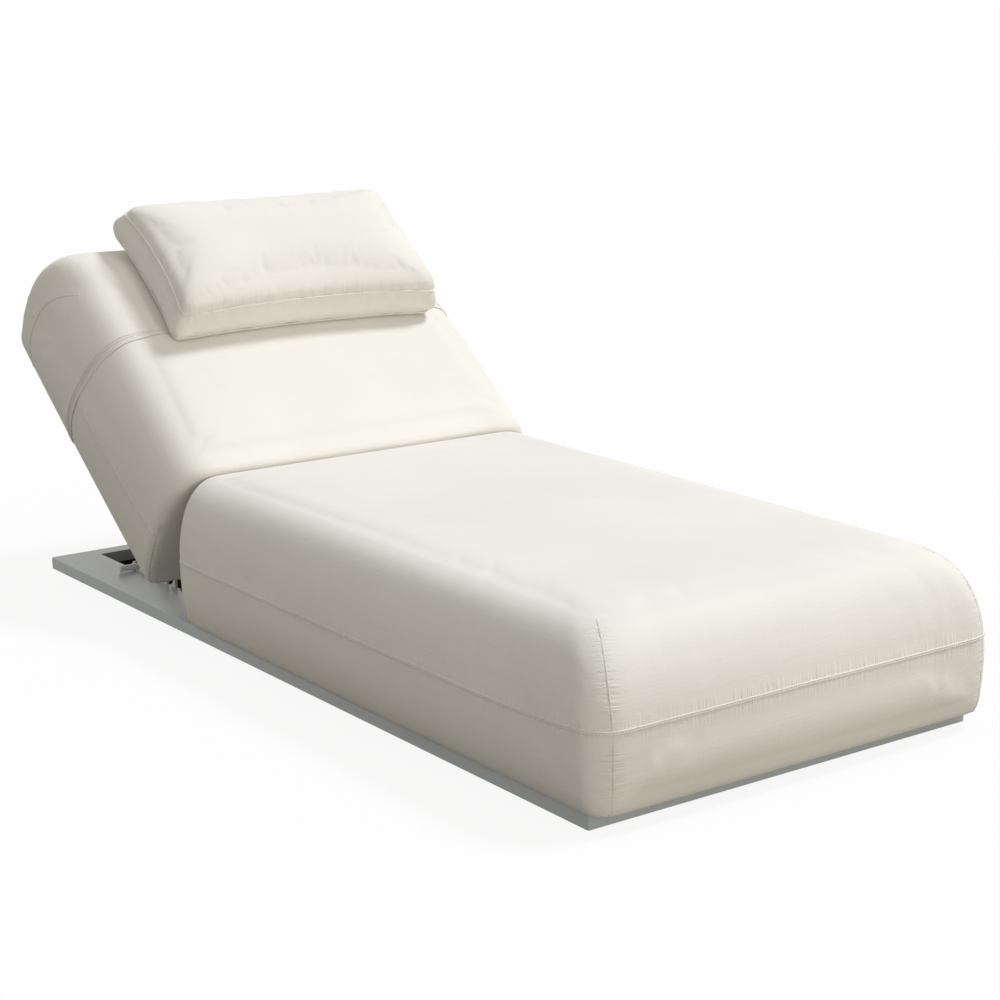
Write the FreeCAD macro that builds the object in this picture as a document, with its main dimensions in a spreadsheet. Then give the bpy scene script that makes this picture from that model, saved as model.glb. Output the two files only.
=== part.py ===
# Spa relaxation lounger: a low metal deck that carries an upholstered seat block, and an upholstered
# backrest block that is hinged at the crease and propped by a stay in two toothed racks.
# Millimetres. +X is to the right as seen from the foot end, +Y is towards the head, +Z is up.
# The origin is on the floor below the middle of the deck.
import FreeCAD
import Part
import Sketcher
import math
import os

from FreeCAD import Placement, Rotation, Vector

os.makedirs("parts", exist_ok=True)
doc = FreeCAD.newDocument("relaxation_lounger")
sheet = doc.addObject("Spreadsheet::Sheet", "Sizes")

# Dimensions, one row each: name, size, what it is. A size that begins with = follows from those above it
SIZES = [
    ("deck_length", 2000, "deck from foot to head"),
    ("deck_width", 900, "deck across"),
    ("deck_top", 28, "height of the deck's upper face above the floor"),
    ("deck_wall", 4, "plate of the deck, its skirt and its collar"),
    ("skirt_gap", 2, "floor to the lower edge of the skirt"),
    ("deck_corner", 4, "radius of the deck's upright corners"),
    ("deck_edge", 1.2, "rounding of the deck's upper edge"),
    ("side_border", 106, "deck beside its cut-out"),
    ("head_border", 42, "deck behind its cut-out"),
    ("cutout_half", "=deck_width / 2 - side_border", "middle to the side of the deck's cut-out"),
    ("cutout_head", "=deck_length / 2 - head_border", "middle to the cut-out's head edge"),
    ("pivot_from_head", 657, "hinge axis to the deck's head end"),
    ("pivot_place", "=deck_length / 2 - pivot_from_head", "middle to the hinge axis, along the deck"),
    ("pivot_to_cutout", 37, "hinge axis to the cut-out's foot edge"),
    ("cutout_foot", "=pivot_place + pivot_to_cutout", "middle to the cut-out's foot edge"),
    ("rail_side", 20, "square tube under the deck, outside"),
    ("rail_wall", 2, "wall of that tube"),
    ("rail_inset", 30, "middle of a long rail to the deck's side"),
    ("rail_place", "=deck_width / 2 - rail_inset", "middle to the middle of a long rail"),
    ("rail_end_gap", 24, "end of a long rail to the deck's end"),
    ("cross_rail_step", "=deck_length / 5", "spacing of the cross rails"),
    ("glide_radius", 18, "floor glide"),
    ("glide_taper", 2, "how much narrower a glide is at the floor"),
    ("glide_inset", 110, "outer glide to the deck's end"),
    ("rack_thickness", 6, "rack plate"),
    ("rack_from_pivot", 235, "hinge axis to the rack's foot end"),
    ("rack_length", 238, "rack from end to end"),
    ("rack_foot_end", "=pivot_place + rack_from_pivot", "middle to the rack's foot end"),
    ("rack_head_end", "=rack_foot_end + rack_length", "middle to the rack's head end"),
    ("tooth_height", 19, "tooth above the deck"),
    ("tooth_pitch", 39, "tooth to tooth"),
    ("tooth_base", 22, "tooth at its root"),
    ("tooth_tip", 3, "flat on a tooth's tip"),
    ("tooth_inset", 26.5, "upright face of the last tooth to the rack's head end"),
    ("last_tooth_face", "=rack_head_end - tooth_inset", "middle to the upright face of the last tooth"),
    ("rivet_radius", 2.5, "rack rivet"),
    ("rivet_head", 5, "radius of a rivet's head"),
    ("rivet_head_height", 1.6, "height of a rivet's head"),
    ("rivet_inset", 22, "end rivet to the rack's end"),
    ("hole_clearance", 0.05, "radial room round a pin, rivet or screw"),
    ("soft_clearance", 0.3, "room round a board in the upholstery"),
    ("board", 15, "thick plywood board"),
    ("thin_board", 9, "thin plywood panel"),
    ("side_board", 12, "side board of the backrest's carcass"),
    ("board_inset", 25, "side of the seat's board and of the upright panels to the deck's side"),
    ("board_half", "=deck_width / 2 - board_inset", "middle to the side of that board and those panels"),
    ("seat_board_inset", 25, "seat's base board to the deck's foot end"),
    ("seat_board_gap", 8, "seat's base board to the rear face of the seat"),
    ("deck_bolt_radius", 3, "bolt through the deck into the seat's board"),
    ("deck_bolt_head", 5.5, "radius of that bolt's head"),
    ("deck_bolt_head_height", 3, "height of that bolt's head"),
    ("deck_bolt_grip", 12, "depth of that bolt in the board"),
    ("deck_bolt_inset", 100, "row of those bolts to the deck's side"),
    ("deck_bolt_place", "=deck_width / 2 - deck_bolt_inset", "middle to a row of those bolts"),
    ("pivot_height", 326, "hinge axis above the floor"),
    ("joint_lean", 5.5, "lean of the face between seat and backrest, degrees"),
    ("rest_tilt", 37.3, "backrest above flat in the stored pose, degrees"),
    ("joint_gap", 2, "fabric to fabric across the joint when flat"),
    ("leaf_gap", 1, "leaf to leaf when flat"),
    ("leaf_thickness", 3, "hinge leaf"),
    ("leaf_width", 150, "hinge leaf across"),
    ("leaf_height", 60, "hinge leaf below the axis"),
    ("knuckle_radius", 6, "hinge knuckle"),
    ("knuckle_gap", 0.4, "knuckle to knuckle, and knuckle to leaf"),
    ("hinge_pin_radius", 3, "hinge pin"),
    ("hinge_pin_head", 4.5, "radius of the pin's head"),
    ("hinge_pin_head_height", 2, "height of the pin's head"),
    ("hinge_inset", 190, "middle of a hinge to the deck's side"),
    ("hinge_place", "=deck_width / 2 - hinge_inset", "middle to the middle of a hinge"),
    ("panel_drop", 14, "top of the upright panels below the hinge axis"),
    ("leaf_screw_radius", 2, "hinge screw"),
    ("leaf_screw_drop", 38, "hinge screws below the axis"),
    ("leaf_screw_place", 55, "hinge's middle to a screw"),
    ("leaf_screw_length", 13, "hinge screw, whole"),
    ("back_floor_gap", 2, "flat backrest above the deck"),
    ("back_length", 737, "backrest along its underside"),
    ("well_inset", 58, "well under the backrest to the deck's side"),
    ("well_half", "=deck_width / 2 - well_inset", "middle to the side of that well"),
    ("well_depth", 94, "depth of that well"),
    ("head_board_inset", 26, "head board to the backrest's lower head edge"),
    ("rest_pad_radius", 5, "rubber pad under a side board"),
    ("rest_pad_height", 1.7, "height of that pad"),
    ("rest_pad_inset", 80, "pad to the end of its board"),
    ("stay_place", 105, "backrest's lower edge to the stay's pivot"),
    ("stay_rise", 65, "stay's pivot above the backrest's underside"),
    ("stay_arm_inset", 44, "middle of a stay arm to the side of the cut-out"),
    ("stay_arm_place", "=cutout_half - stay_arm_inset", "middle to the middle of a stay arm"),
    ("stay_arm_width", 20, "stay arm, the wide way"),
    ("stay_arm_thickness", 6, "stay arm, the thin way"),
    ("stay_pin_radius", 4, "stay pivot pin"),
    ("stay_pin_head", 6.5, "radius of that pin's head"),
    ("stay_pin_head_height", 3, "height of that pin's head"),
    ("ear_thickness", 3, "ear and flange of a stay bracket"),
    ("ear_radius", 11, "rounded end of an ear"),
    ("ear_gap", 0.5, "stay arm to an ear"),
    ("flange_reach", 20, "flange of a stay bracket past its ear"),
    ("bracket_length", 34, "stay bracket along the backrest"),
    ("bracket_screw_radius", 2.5, "screw of a stay bracket"),
    ("bracket_screw_head", 4.5, "radius of that screw's head"),
    ("bracket_screw_head_height", 2.5, "height of that screw's head"),
    ("bar_radius", 7, "foot bar of the stay"),
    ("bar_overlap", 42, "foot bar past the side of the cut-out"),
    ("bar_half", "=cutout_half + bar_overlap", "middle to the end of the foot bar"),
    ("bar_end_round", 3, "rounding of the foot bar's ends"),
    ("bar_gap", 1.5, "foot bar to the upright face of the tooth behind it"),
    ("bar_place", "=last_tooth_face - bar_gap - bar_radius", "middle to the foot bar, along the deck"),
    ("bar_lift", 2, "foot bar above the deck"),
    ("brace_radius", 6, "brace between the stay's arms"),
    ("brace_place", 90, "stay's pivot to the brace"),
    ("seam_height", 166, "seat's side seam above the floor"),
    ("seat_top", 334, "seat's upper face at its rounded edge"),
    ("seat_crown", 6, "rise of the seat's upper face to its middle"),
    ("side_bulge", 23, "side past the deck's edge at the seam"),
    ("foot_bulge", 34, "foot end past the deck's edge at the seam"),
    ("edge_round", 120, "how far the upper edges draw in"),
    ("seat_crease_round", 20, "rounding of the seat at the crease"),
    ("corner_radius", 24, "upright corners of the blocks"),
    ("joint_corner", 6, "upright corners at the joint"),
    ("back_seam_height", 172, "backrest's side seam above the floor when flat"),
    ("back_top", 350, "backrest's face at its rounded edge when flat"),
    ("back_crown", 7, "rise of the backrest's face to its middle"),
    ("back_side_bulge", 25, "backrest's side past the deck's edge at the seam"),
    ("head_bulge", 30, "head end past the lower head edge at the seam"),
    ("back_crease_round", 30, "rounding of the backrest at the crease"),
    ("hood_length", 309, "hood from the lower head edge to its hem"),
    ("hood_thickness", 3, "quilted fabric of the hood"),
    ("pillow_side_gap", 118, "half of what the head pillow is narrower than the deck"),
    ("pillow_width", "=deck_width - 2 * pillow_side_gap", "head pillow across"),
    ("pillow_length", 326, "head pillow along the backrest"),
    ("pillow_place", 20, "middle of the pillow to the right of the middle"),
    ("pillow_head_gap", 4, "pillow to the backrest's lower head edge"),
    ("pillow_gap", 0.8, "pillow to the backrest's face"),
    ("pillow_corner", 42, "corner of the pillow"),
    ("pillow_draw_in", 9, "how far the pillow's sides draw in between corners"),
    ("pillow_boxing", 58, "pillow's side band between its welts"),
    ("pillow_under", 12, "pillow's lower face to its lower welt"),
    ("pillow_crown", 44, "pillow's upper face above its upper welt"),
    ("overrun", 5, "how far a cutting shape passes the face it cuts"),
]
for row, (name, number, words) in enumerate(SIZES, start=1):
    sheet.set(f"A{row}", str(number))
    sheet.setAlias(f"A{row}", name)
    sheet.set(f"B{row}", words)
doc.recompute()

# How far up its height each level of a rounded block lies, from the deck to the seam and on to the top
LOWER_SHARES = (0.0, 0.45, 1.0)
UPPER_SHARES = (0.3, 0.55, 0.76, 0.9, 1.0)
CROWN_SHARES = (0.5,)
PILLOW_CROWN_SHARES = (0.3, 0.62, 0.88)
EDGE_POWER_SHARE = 0.83
CORNER_GROWTH_SHARE = 0.35
HALF_SHARE = 0.5
PILLOW_CORNER_SHARE = 0.7
PILLOW_SEAT_SHARE = 0.75
PILLOW_DRAW_IN_SHARE = 0.9
EAR_ROUND_SHARE = 0.9
BOLT_ROW_SHARES = (-0.25, 0.0625)
GLIDE_ROW_SHARE = 0.166
TOOTH_COUNT = 6
RIVETS_PER_RACK = 3
QUARTER_TURN = 90

X_AXIS = Vector(1, 0, 0)
Z_AXIS = Vector(0, 0, 1)
HERE = Placement()
kept = []


def size(expression):
    """The number that an expression in the sheet's names gives."""
    found = sheet.evalExpression(expression)
    return float(getattr(found, "Value", found))


def keep(piece):
    """Marks an object as a finished piece."""
    kept.append(piece)
    return piece


def bind(piece, **expressions):
    """Ties an object's sizes to the sheet."""
    for prop, expression in expressions.items():
        piece.setExpression(prop, expression)
    return piece


def put(piece, place, home=HERE):
    """Places an object by three expressions, within the frame that it belongs to."""
    if home is HERE:
        for axis, expression in zip("xyz", place):
            piece.setExpression(f"Placement.Base.{axis}", expression)
    else:
        spot = Vector(*[size(expression) for expression in place])
        piece.Placement = home.multiply(Placement(spot, Rotation()))
    return piece


def block(name, length, width, height, place, home=HERE):
    """A rectangular block: its sizes along X, Y and Z, and the place of its lowest corner."""
    box = doc.addObject("Part::Box", name)
    bind(box, Length=length, Width=width, Height=height)
    return put(box, place, home)


def rod(name, radius, length, place, home=HERE):
    """A round rod along X that starts at the given place."""
    cylinder = doc.addObject("Part::Cylinder", name)
    bind(cylinder, Radius=radius, Height=length)
    spot = Vector(*[size(expression) for expression in place])
    cylinder.Placement = home.multiply(Placement(spot, Rotation(Vector(0, 1, 0), QUARTER_TURN)))
    return cylinder


def post(name, radius, height, place, home=HERE):
    """A round rod along Z that stands on the given place."""
    cylinder = doc.addObject("Part::Cylinder", name)
    bind(cylinder, Radius=radius, Height=height)
    return put(cylinder, place, home)


def group(name, pieces):
    """Several separate solids under one name."""
    compound = doc.addObject("Part::Compound", name)
    compound.Links = pieces
    return compound


def fused(name, pieces):
    """Several solids made one."""
    fuse = doc.addObject("Part::MultiFuse", name)
    fuse.Shapes = pieces
    return fuse


def less(name, base, tool):
    """One solid with another cut out of it."""
    cut = doc.addObject("Part::Cut", name)
    cut.Base = base
    cut.Tool = tool
    return cut


def origin_plane(body, role):
    """The body's own plane of the given role."""
    return next(item for item in body.Origin.OriginFeatures if item.Role == role)


def new_sketch(body, name, role, lift=None):
    """A sketch on one of the body's planes, lifted off it by an expression."""
    sketch = body.newObject("Sketcher::SketchObject", name)
    sketch.AttachmentSupport = [(origin_plane(body, role), "")]
    sketch.MapMode = "FlatFace"
    if lift:
        sketch.setExpression("AttachmentOffset.Base.z", lift)
    return sketch


def outline(sketch, points):
    """A closed outline of straight lines through the points, which are pairs of expressions."""
    places = [Vector(size(across), size(up), 0) for across, up in points]
    first = sketch.GeometryCount
    last = first + len(places) - 1
    for start, end in zip(places, places[1:] + places[:1]):
        sketch.addGeometry(Part.LineSegment(start, end), False)
    for index in range(first, last + 1):
        following = first if index == last else index + 1
        sketch.addConstraint(Sketcher.Constraint("Coincident", index, 2, following, 1))
    for index, (across, up) in enumerate(points, start=first):
        for kind, expression in (("DistanceX", across), ("DistanceY", up)):
            number = sketch.addConstraint(Sketcher.Constraint(kind, -1, 1, index, 1, size(expression)))
            sketch.setExpression(f"Constraints[{number}]", expression)


def circle(sketch, radius, across="0", up="0"):
    """A circle in the sketch, its radius and centre given by expressions."""
    centre = Vector(size(across), size(up), 0)
    index = sketch.addGeometry(Part.Circle(centre, Z_AXIS, size(radius)), False)
    number = sketch.addConstraint(Sketcher.Constraint("Radius", index, size(radius)))
    sketch.setExpression(f"Constraints[{number}]", radius)
    for kind, expression in (("DistanceX", across), ("DistanceY", up)):
        number = sketch.addConstraint(Sketcher.Constraint(kind, -1, 1, index, 3, size(expression)))
        sketch.setExpression(f"Constraints[{number}]", expression)


def pad(body, sketch, name, length, midplane=False):
    """Extrudes the sketch by an expression's length."""
    feature = body.newObject("PartDesign::Pad", name)
    feature.Profile = sketch
    feature.setExpression("Length", length)
    feature.Midplane = midplane
    return feature


def pocket(body, sketch, name, length, midplane=False, reverse=False):
    """Cuts the sketch out of the body, and checks that it took material away."""
    doc.recompute()
    before = body.Shape.Volume
    feature = body.newObject("PartDesign::Pocket", name)
    feature.Profile = sketch
    feature.setExpression("Length", length)
    feature.Midplane = midplane
    feature.Reversed = reverse
    doc.recompute()
    if body.Shape.Volume >= before:
        raise RuntimeError(f"{name} cuts nothing")
    return feature


# Deck tray: folded aluminium plate with a skirt all round and a collar round the cut-out
deck = doc.addObject("PartDesign::Body", "deck_tray")


def box_points(half, low, high):
    """Corners of a rectangle centred across, between two places along."""
    return [(f"-({half})", low), (half, low), (half, high), (f"-({half})", high)]


plate_sketch = new_sketch(deck, "deck_plate_sketch", "XY_Plane", "Sizes.skirt_gap")
outline(plate_sketch, box_points("Sizes.deck_width / 2", "-Sizes.deck_length / 2", "Sizes.deck_length / 2"))
pad(deck, plate_sketch, "deck_plate", "Sizes.deck_top - Sizes.skirt_gap")

hollow_sketch = new_sketch(deck, "deck_hollow_sketch", "XY_Plane", "Sizes.skirt_gap")
outline(
    hollow_sketch,
    box_points(
        "Sizes.deck_width / 2 - Sizes.deck_wall",
        "-Sizes.deck_length / 2 + Sizes.deck_wall",
        "Sizes.deck_length / 2 - Sizes.deck_wall",
    ),
)
outline(
    hollow_sketch,
    box_points(
        "Sizes.cutout_half + Sizes.deck_wall",
        "Sizes.cutout_foot - Sizes.deck_wall",
        "Sizes.cutout_head + Sizes.deck_wall",
    ),
)
pocket(deck, hollow_sketch, "deck_hollow", "Sizes.deck_top - Sizes.skirt_gap - Sizes.deck_wall", reverse=True)

cutout_sketch = new_sketch(deck, "deck_cutout_sketch", "XY_Plane", "Sizes.skirt_gap")
outline(cutout_sketch, box_points("Sizes.cutout_half", "Sizes.cutout_foot", "Sizes.cutout_head"))
pocket(deck, cutout_sketch, "deck_cutout", "Sizes.deck_top", reverse=True)

rivet_spacing = (
    "(Sizes.rack_head_end - Sizes.rack_foot_end - 2 * Sizes.rivet_inset) / " + str(RIVETS_PER_RACK - 1)
)
rivet_height = "(Sizes.skirt_gap + Sizes.deck_top) / 2"


def rivet_place(index):
    """Place of a rack rivet along the deck."""
    return f"Sizes.rack_foot_end + Sizes.rivet_inset + {index} * {rivet_spacing}"


def rivet_holes(body, name, length):
    """The row of rivet holes, cut across the middle of the body."""
    sketch = new_sketch(body, name + "_sketch", "YZ_Plane")
    for index in range(RIVETS_PER_RACK):
        circle(sketch, "Sizes.rivet_radius + Sizes.hole_clearance", rivet_place(index), rivet_height)
    pocket(body, sketch, name, length, midplane=True)


rivet_holes(deck, "deck_rivet_holes", "2 * (Sizes.cutout_half + Sizes.deck_wall + Sizes.overrun)")


def bolt_rows():
    """Places of the bolts that hold the seat's base board."""
    rows = ["-Sizes.deck_length / 2 + Sizes.glide_inset"]
    rows += [f"Sizes.deck_length * {share}" for share in BOLT_ROW_SHARES]
    return [(side, along) for side in (-1, 1) for along in rows]


bolt_sketch = new_sketch(deck, "deck_bolt_sketch", "XY_Plane", "Sizes.skirt_gap")
for side, along in bolt_rows():
    circle(bolt_sketch, "Sizes.deck_bolt_radius + Sizes.hole_clearance", f"{side} * Sizes.deck_bolt_place", along)
pocket(deck, bolt_sketch, "deck_bolt_holes", "Sizes.deck_top", reverse=True)


def edge_names(shape, wanted):
    """Names of the shape's edges that a test picks."""
    return [f"Edge{number}" for number, edge in enumerate(shape.Edges, start=1) if wanted(edge)]


def round_edges(body, name, radius, wanted):
    """Rounds the edges of a body that a test picks."""
    doc.recompute()
    base = body.Tip
    fillet = body.newObject("PartDesign::Fillet", name)
    fillet.Base = (base, edge_names(base.Shape, wanted))
    fillet.setExpression("Radius", radius)
    return fillet


def deck_corner_edge(edge):
    """An upright edge at one of the deck's four outer corners."""
    box = edge.BoundBox
    upright = box.ZLength > box.XLength + box.YLength
    at_side = abs(abs(box.Center.x) - size("Sizes.deck_width") / 2) < size("Sizes.deck_edge")
    return upright and at_side


def deck_rim_edge(edge):
    """An edge round the outside of the deck's upper face."""
    box = edge.BoundBox
    on_top = box.ZMin > size("Sizes.deck_top - Sizes.deck_edge / 2")
    far_out = max(
        abs(box.Center.x) / size("Sizes.deck_width / 2"),
        abs(box.Center.y) / size("Sizes.deck_length / 2"),
    )
    return on_top and far_out > 1 - size("Sizes.deck_corner / Sizes.deck_width")


round_edges(deck, "deck_corners", "Sizes.deck_corner", deck_corner_edge)
round_edges(deck, "deck_rim", "Sizes.deck_edge", deck_rim_edge)
keep(deck)

# Rails under the deck: square tubes, two along it and a set across it
rail_floor = "Sizes.deck_top - Sizes.deck_wall - Sizes.rail_side"
rail_reach = "(Sizes.deck_length - 2 * Sizes.rail_end_gap)"


def tube(name, length, width, place, along_x):
    """A square tube under the deck, its bore running the long way."""
    outside = block(name + "_outside", length, width, "Sizes.rail_side", place)
    wall = "Sizes.rail_wall"
    across, along, up = place
    bore_size = (f"{length} - 2 * {wall}", f"{width} + 2 * Sizes.overrun")
    bore_place = (f"{across} + {wall}", f"{along} - Sizes.overrun", f"{up} + {wall}")
    if along_x:
        bore_size = (f"{length} + 2 * Sizes.overrun", f"{width} - 2 * {wall}")
        bore_place = (f"{across} - Sizes.overrun", f"{along} + {wall}", f"{up} + {wall}")
    bore = block(name + "_bore", *bore_size, f"Sizes.rail_side - 2 * {wall}", bore_place)
    return less(name, outside, bore)


for side, word in ((-1, "left"), (1, "right")):
    keep(
        tube(
            f"deck_rail_{word}",
            "Sizes.rail_side",
            rail_reach,
            (
                f"{side} * Sizes.rail_place - Sizes.rail_side / 2",
                "-Sizes.deck_length / 2 + Sizes.rail_end_gap",
                rail_floor,
            ),
            along_x=False,
        )
    )

cross_half = "(Sizes.rail_place - Sizes.rail_side / 2)"
cross_places = [f"{step} * Sizes.cross_rail_step - Sizes.rail_side / 2" for step in (-2, -1, 0)]
cross_places.append("Sizes.cutout_foot - 2 * Sizes.deck_wall - Sizes.rail_side")
cross_places.append("Sizes.cutout_head + 2 * Sizes.deck_wall")
keep(
    group(
        "deck_cross_rails",
        [
            tube(f"cross_rail_{index}", f"2 * {cross_half}", "Sizes.rail_side",
                 (f"-{cross_half}", place, rail_floor), along_x=True)
            for index, place in enumerate(cross_places)
        ],
    )
)


# Floor glides: tapered rubber pads under the rails, one of them in the middle of the deck
def glide(name, across, along):
    """One pad, narrower at the floor."""
    cone = doc.addObject("Part::Cone", name)
    bind(cone, Radius1="Sizes.glide_radius - Sizes.glide_taper", Radius2="Sizes.glide_radius", Height=rail_floor)
    return put(cone, (across, along, "0"))


glide_rows = [
    "-Sizes.deck_length / 2 + Sizes.glide_inset",
    f"-Sizes.deck_length * {GLIDE_ROW_SHARE}",
    f"Sizes.deck_length * {GLIDE_ROW_SHARE}",
    "Sizes.deck_length / 2 - Sizes.glide_inset",
]
keep(
    group(
        "floor_glides",
        [
            glide(f"glide_{word}_{index}", f"{side} * Sizes.rail_place", along)
            for side, word in ((-1, "left"), (1, "right"))
            for index, along in enumerate(glide_rows)
        ],
    )
)
keep(glide("centre_glide", "0", "0"))

# Racks: a toothed plate inside each side of the cut-out, its teeth above the deck
for side, name in ((-1, "rack_left"), (1, "rack_right")):
    rack = doc.addObject("PartDesign::Body", name)
    strip_sketch = new_sketch(rack, name + "_strip_sketch", "YZ_Plane")
    outline(
        strip_sketch,
        [
            ("Sizes.rack_foot_end", "Sizes.skirt_gap"),
            ("Sizes.rack_head_end", "Sizes.skirt_gap"),
            ("Sizes.rack_head_end", "Sizes.deck_top"),
            ("Sizes.rack_foot_end", "Sizes.deck_top"),
        ],
    )
    pad(rack, strip_sketch, name + "_strip", "Sizes.rack_thickness", midplane=True)
    tooth_sketch = new_sketch(rack, name + "_tooth_sketch", "YZ_Plane")
    outline(
        tooth_sketch,
        [
            ("Sizes.last_tooth_face", "Sizes.deck_top - Sizes.overrun"),
            ("Sizes.last_tooth_face + Sizes.tooth_base", "Sizes.deck_top - Sizes.overrun"),
            ("Sizes.last_tooth_face + Sizes.tooth_base", "Sizes.deck_top"),
            ("Sizes.last_tooth_face + Sizes.tooth_tip", "Sizes.deck_top + Sizes.tooth_height"),
            ("Sizes.last_tooth_face", "Sizes.deck_top + Sizes.tooth_height"),
        ],
    )
    tooth = pad(rack, tooth_sketch, name + "_tooth", "Sizes.rack_thickness", midplane=True)
    doc.recompute()
    teeth = rack.newObject("PartDesign::LinearPattern", name + "_teeth")
    teeth.Originals = [tooth]
    teeth.Direction = (tooth_sketch, ["H_Axis"])
    teeth.Reversed = True
    teeth.setExpression("Length", f"Sizes.tooth_pitch * {TOOTH_COUNT - 1}")
    teeth.Occurrences = TOOTH_COUNT
    rack.Tip = teeth
    rivet_holes(rack, name + "_holes", "2 * Sizes.rack_thickness")
    put(rack, (f"{side} * (Sizes.cutout_half - Sizes.rack_thickness / 2)", "0", "0"))
    keep(rack)


# Rack rivets: shank through rack and collar, a head on each face
def rivet(name, side, index):
    """One rivet along X."""
    along = rivet_place(index)
    inner = "(Sizes.cutout_half - Sizes.rack_thickness)"
    outer = "(Sizes.cutout_half + Sizes.deck_wall)"
    starts = (inner, f"{inner} - Sizes.rivet_head_height", outer)
    ends = (outer, inner, f"{outer} + Sizes.rivet_head_height")
    radii = ("Sizes.rivet_radius", "Sizes.rivet_head", "Sizes.rivet_head")
    pieces = []
    for number, (start, end, radius) in enumerate(zip(starts, ends, radii)):
        low = start if side > 0 else f"-({end})"
        pieces.append(rod(f"{name}_{number}", radius, f"{end} - ({start})", (low, along, rivet_height)))
    return fused(name, pieces)


keep(
    group(
        "rack_rivets",
        [
            rivet(f"rivet_{word}_{index}", side, index)
            for side, word in ((-1, "left"), (1, "right"))
            for index in range(RIVETS_PER_RACK)
        ],
    )
)

# Frames of the joint between the blocks: flat, and turned up to the stored tilt
pivot = Vector(0, size("Sizes.pivot_place"), size("Sizes.pivot_height"))
tilt = Rotation(X_AXIS, size("Sizes.rest_tilt"))
raised = Placement(pivot, tilt).multiply(Placement(pivot.negative(), Rotation()))
seat_joint = Placement(pivot, Rotation(X_AXIS, -size("Sizes.joint_lean")))
back_joint = raised.multiply(seat_joint)
flat_joint = seat_joint


def joint_place(height, offset):
    """Where the leaning joint face, moved along by the offset, lies at a height above the floor."""
    return pivot.y - (pivot.z - height) * math.tan(math.radians(size("Sizes.joint_lean"))) + offset


# Seat's base board: plywood on the deck
seat_board_rear = joint_place(size("Sizes.deck_top"), -size("Sizes.seat_board_gap"))
board_blank = block(
    "seat_base_board_blank",
    "2 * Sizes.board_half",
    "0",
    "Sizes.board",
    ("-Sizes.board_half", "-Sizes.deck_length / 2 + Sizes.seat_board_inset", "Sizes.deck_top"),
)
board_blank.setExpression(
    "Width",
    "Sizes.pivot_place - (Sizes.pivot_height - Sizes.deck_top) * tan(Sizes.joint_lean * 1 deg)"
    " - Sizes.seat_board_gap + Sizes.deck_length / 2 - Sizes.seat_board_inset",
)
board_holes = group(
    "seat_base_board_holes",
    [
        post(f"board_hole_{index}", "Sizes.deck_bolt_radius + Sizes.hole_clearance",
             "Sizes.deck_bolt_grip + Sizes.overrun",
             (f"{side} * Sizes.deck_bolt_place", along, "Sizes.deck_top - Sizes.overrun"))
        for index, (side, along) in enumerate(bolt_rows())
    ],
)
keep(less("seat_base_board", board_blank, board_holes))


# Deck bolts: from below, through the deck and into the seat's board
def deck_bolt(name, across, along):
    """One bolt, head under the deck plate."""
    plate_under = "(Sizes.deck_top - Sizes.deck_wall)"
    shank = post(name + "_shank", "Sizes.deck_bolt_radius", "Sizes.deck_wall + Sizes.deck_bolt_grip",
                 (across, along, plate_under))
    head = post(name + "_head", "Sizes.deck_bolt_head", "Sizes.deck_bolt_head_height",
                (across, along, f"{plate_under} - Sizes.deck_bolt_head_height"))
    return fused(name, [shank, head])


keep(
    group(
        "deck_bolts",
        [
            deck_bolt(f"deck_bolt_{index}", f"{side} * Sizes.deck_bolt_place", along)
            for index, (side, along) in enumerate(bolt_rows())
        ],
    )
)

# Upright panels: plywood that stands on each side of the joint and carries the hinges
panel_face = "(Sizes.leaf_gap / 2 + Sizes.leaf_thickness)"
seat_panel_height = "((Sizes.pivot_height - Sizes.deck_top - Sizes.board) / cos(Sizes.joint_lean * 1 deg))"
back_panel_height = "((Sizes.pivot_height - Sizes.deck_top - Sizes.back_floor_gap) / cos(Sizes.joint_lean * 1 deg))"


def hinge_places():
    """Middle of each hinge across the lounger."""
    return [("left", "-Sizes.hinge_place"), ("right", "Sizes.hinge_place")]


def screw_places():
    """Places across of all screws in one row of leaves."""
    return [f"{middle} + {side} * Sizes.leaf_screw_place" for _, middle in hinge_places() for side in (-1, 1)]


def hinge_screws(name, radius, home, towards):
    """A row of plain shanks that run from the leaf's inner face into the panel."""
    turn = Rotation(X_AXIS, QUARTER_TURN if towards < 0 else -QUARTER_TURN)
    shanks = []
    for index, across in enumerate(screw_places()):
        shank = doc.addObject("Part::Cylinder", f"{name}_{index}")
        bind(shank, Radius=radius, Height="Sizes.leaf_screw_length")
        spot = Vector(size(across), towards * size("Sizes.leaf_gap / 2"), -size("Sizes.leaf_screw_drop"))
        shank.Placement = home.multiply(Placement(spot, turn))
        shanks.append(shank)
    return group(name, shanks)


def upright_panel(name, towards, height, home):
    """The panel on one side of the joint, with its screw holes."""
    near = f"-({panel_face} + Sizes.board)" if towards < 0 else panel_face
    blank = block(name + "_blank", "2 * Sizes.board_half", "Sizes.board", f"{height} - Sizes.panel_drop"
                  " - Sizes.soft_clearance", ("-Sizes.board_half", near, f"-{height} + Sizes.soft_clearance"), home)
    holes = hinge_screws(name + "_holes", "Sizes.leaf_screw_radius + Sizes.hole_clearance", home, towards)
    return keep(less(name, blank, holes))


upright_panel("seat_rear_panel", -1, seat_panel_height, seat_joint)
upright_panel("back_end_panel", 1, back_panel_height, back_joint)

# Butt hinges: two outer knuckles on the seat's leaf, one middle knuckle on the backrest's leaf
KNUCKLES = {-1: (-1, 1), 1: (0,)}
knuckle_length = "(Sizes.leaf_width / 3)"


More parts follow.
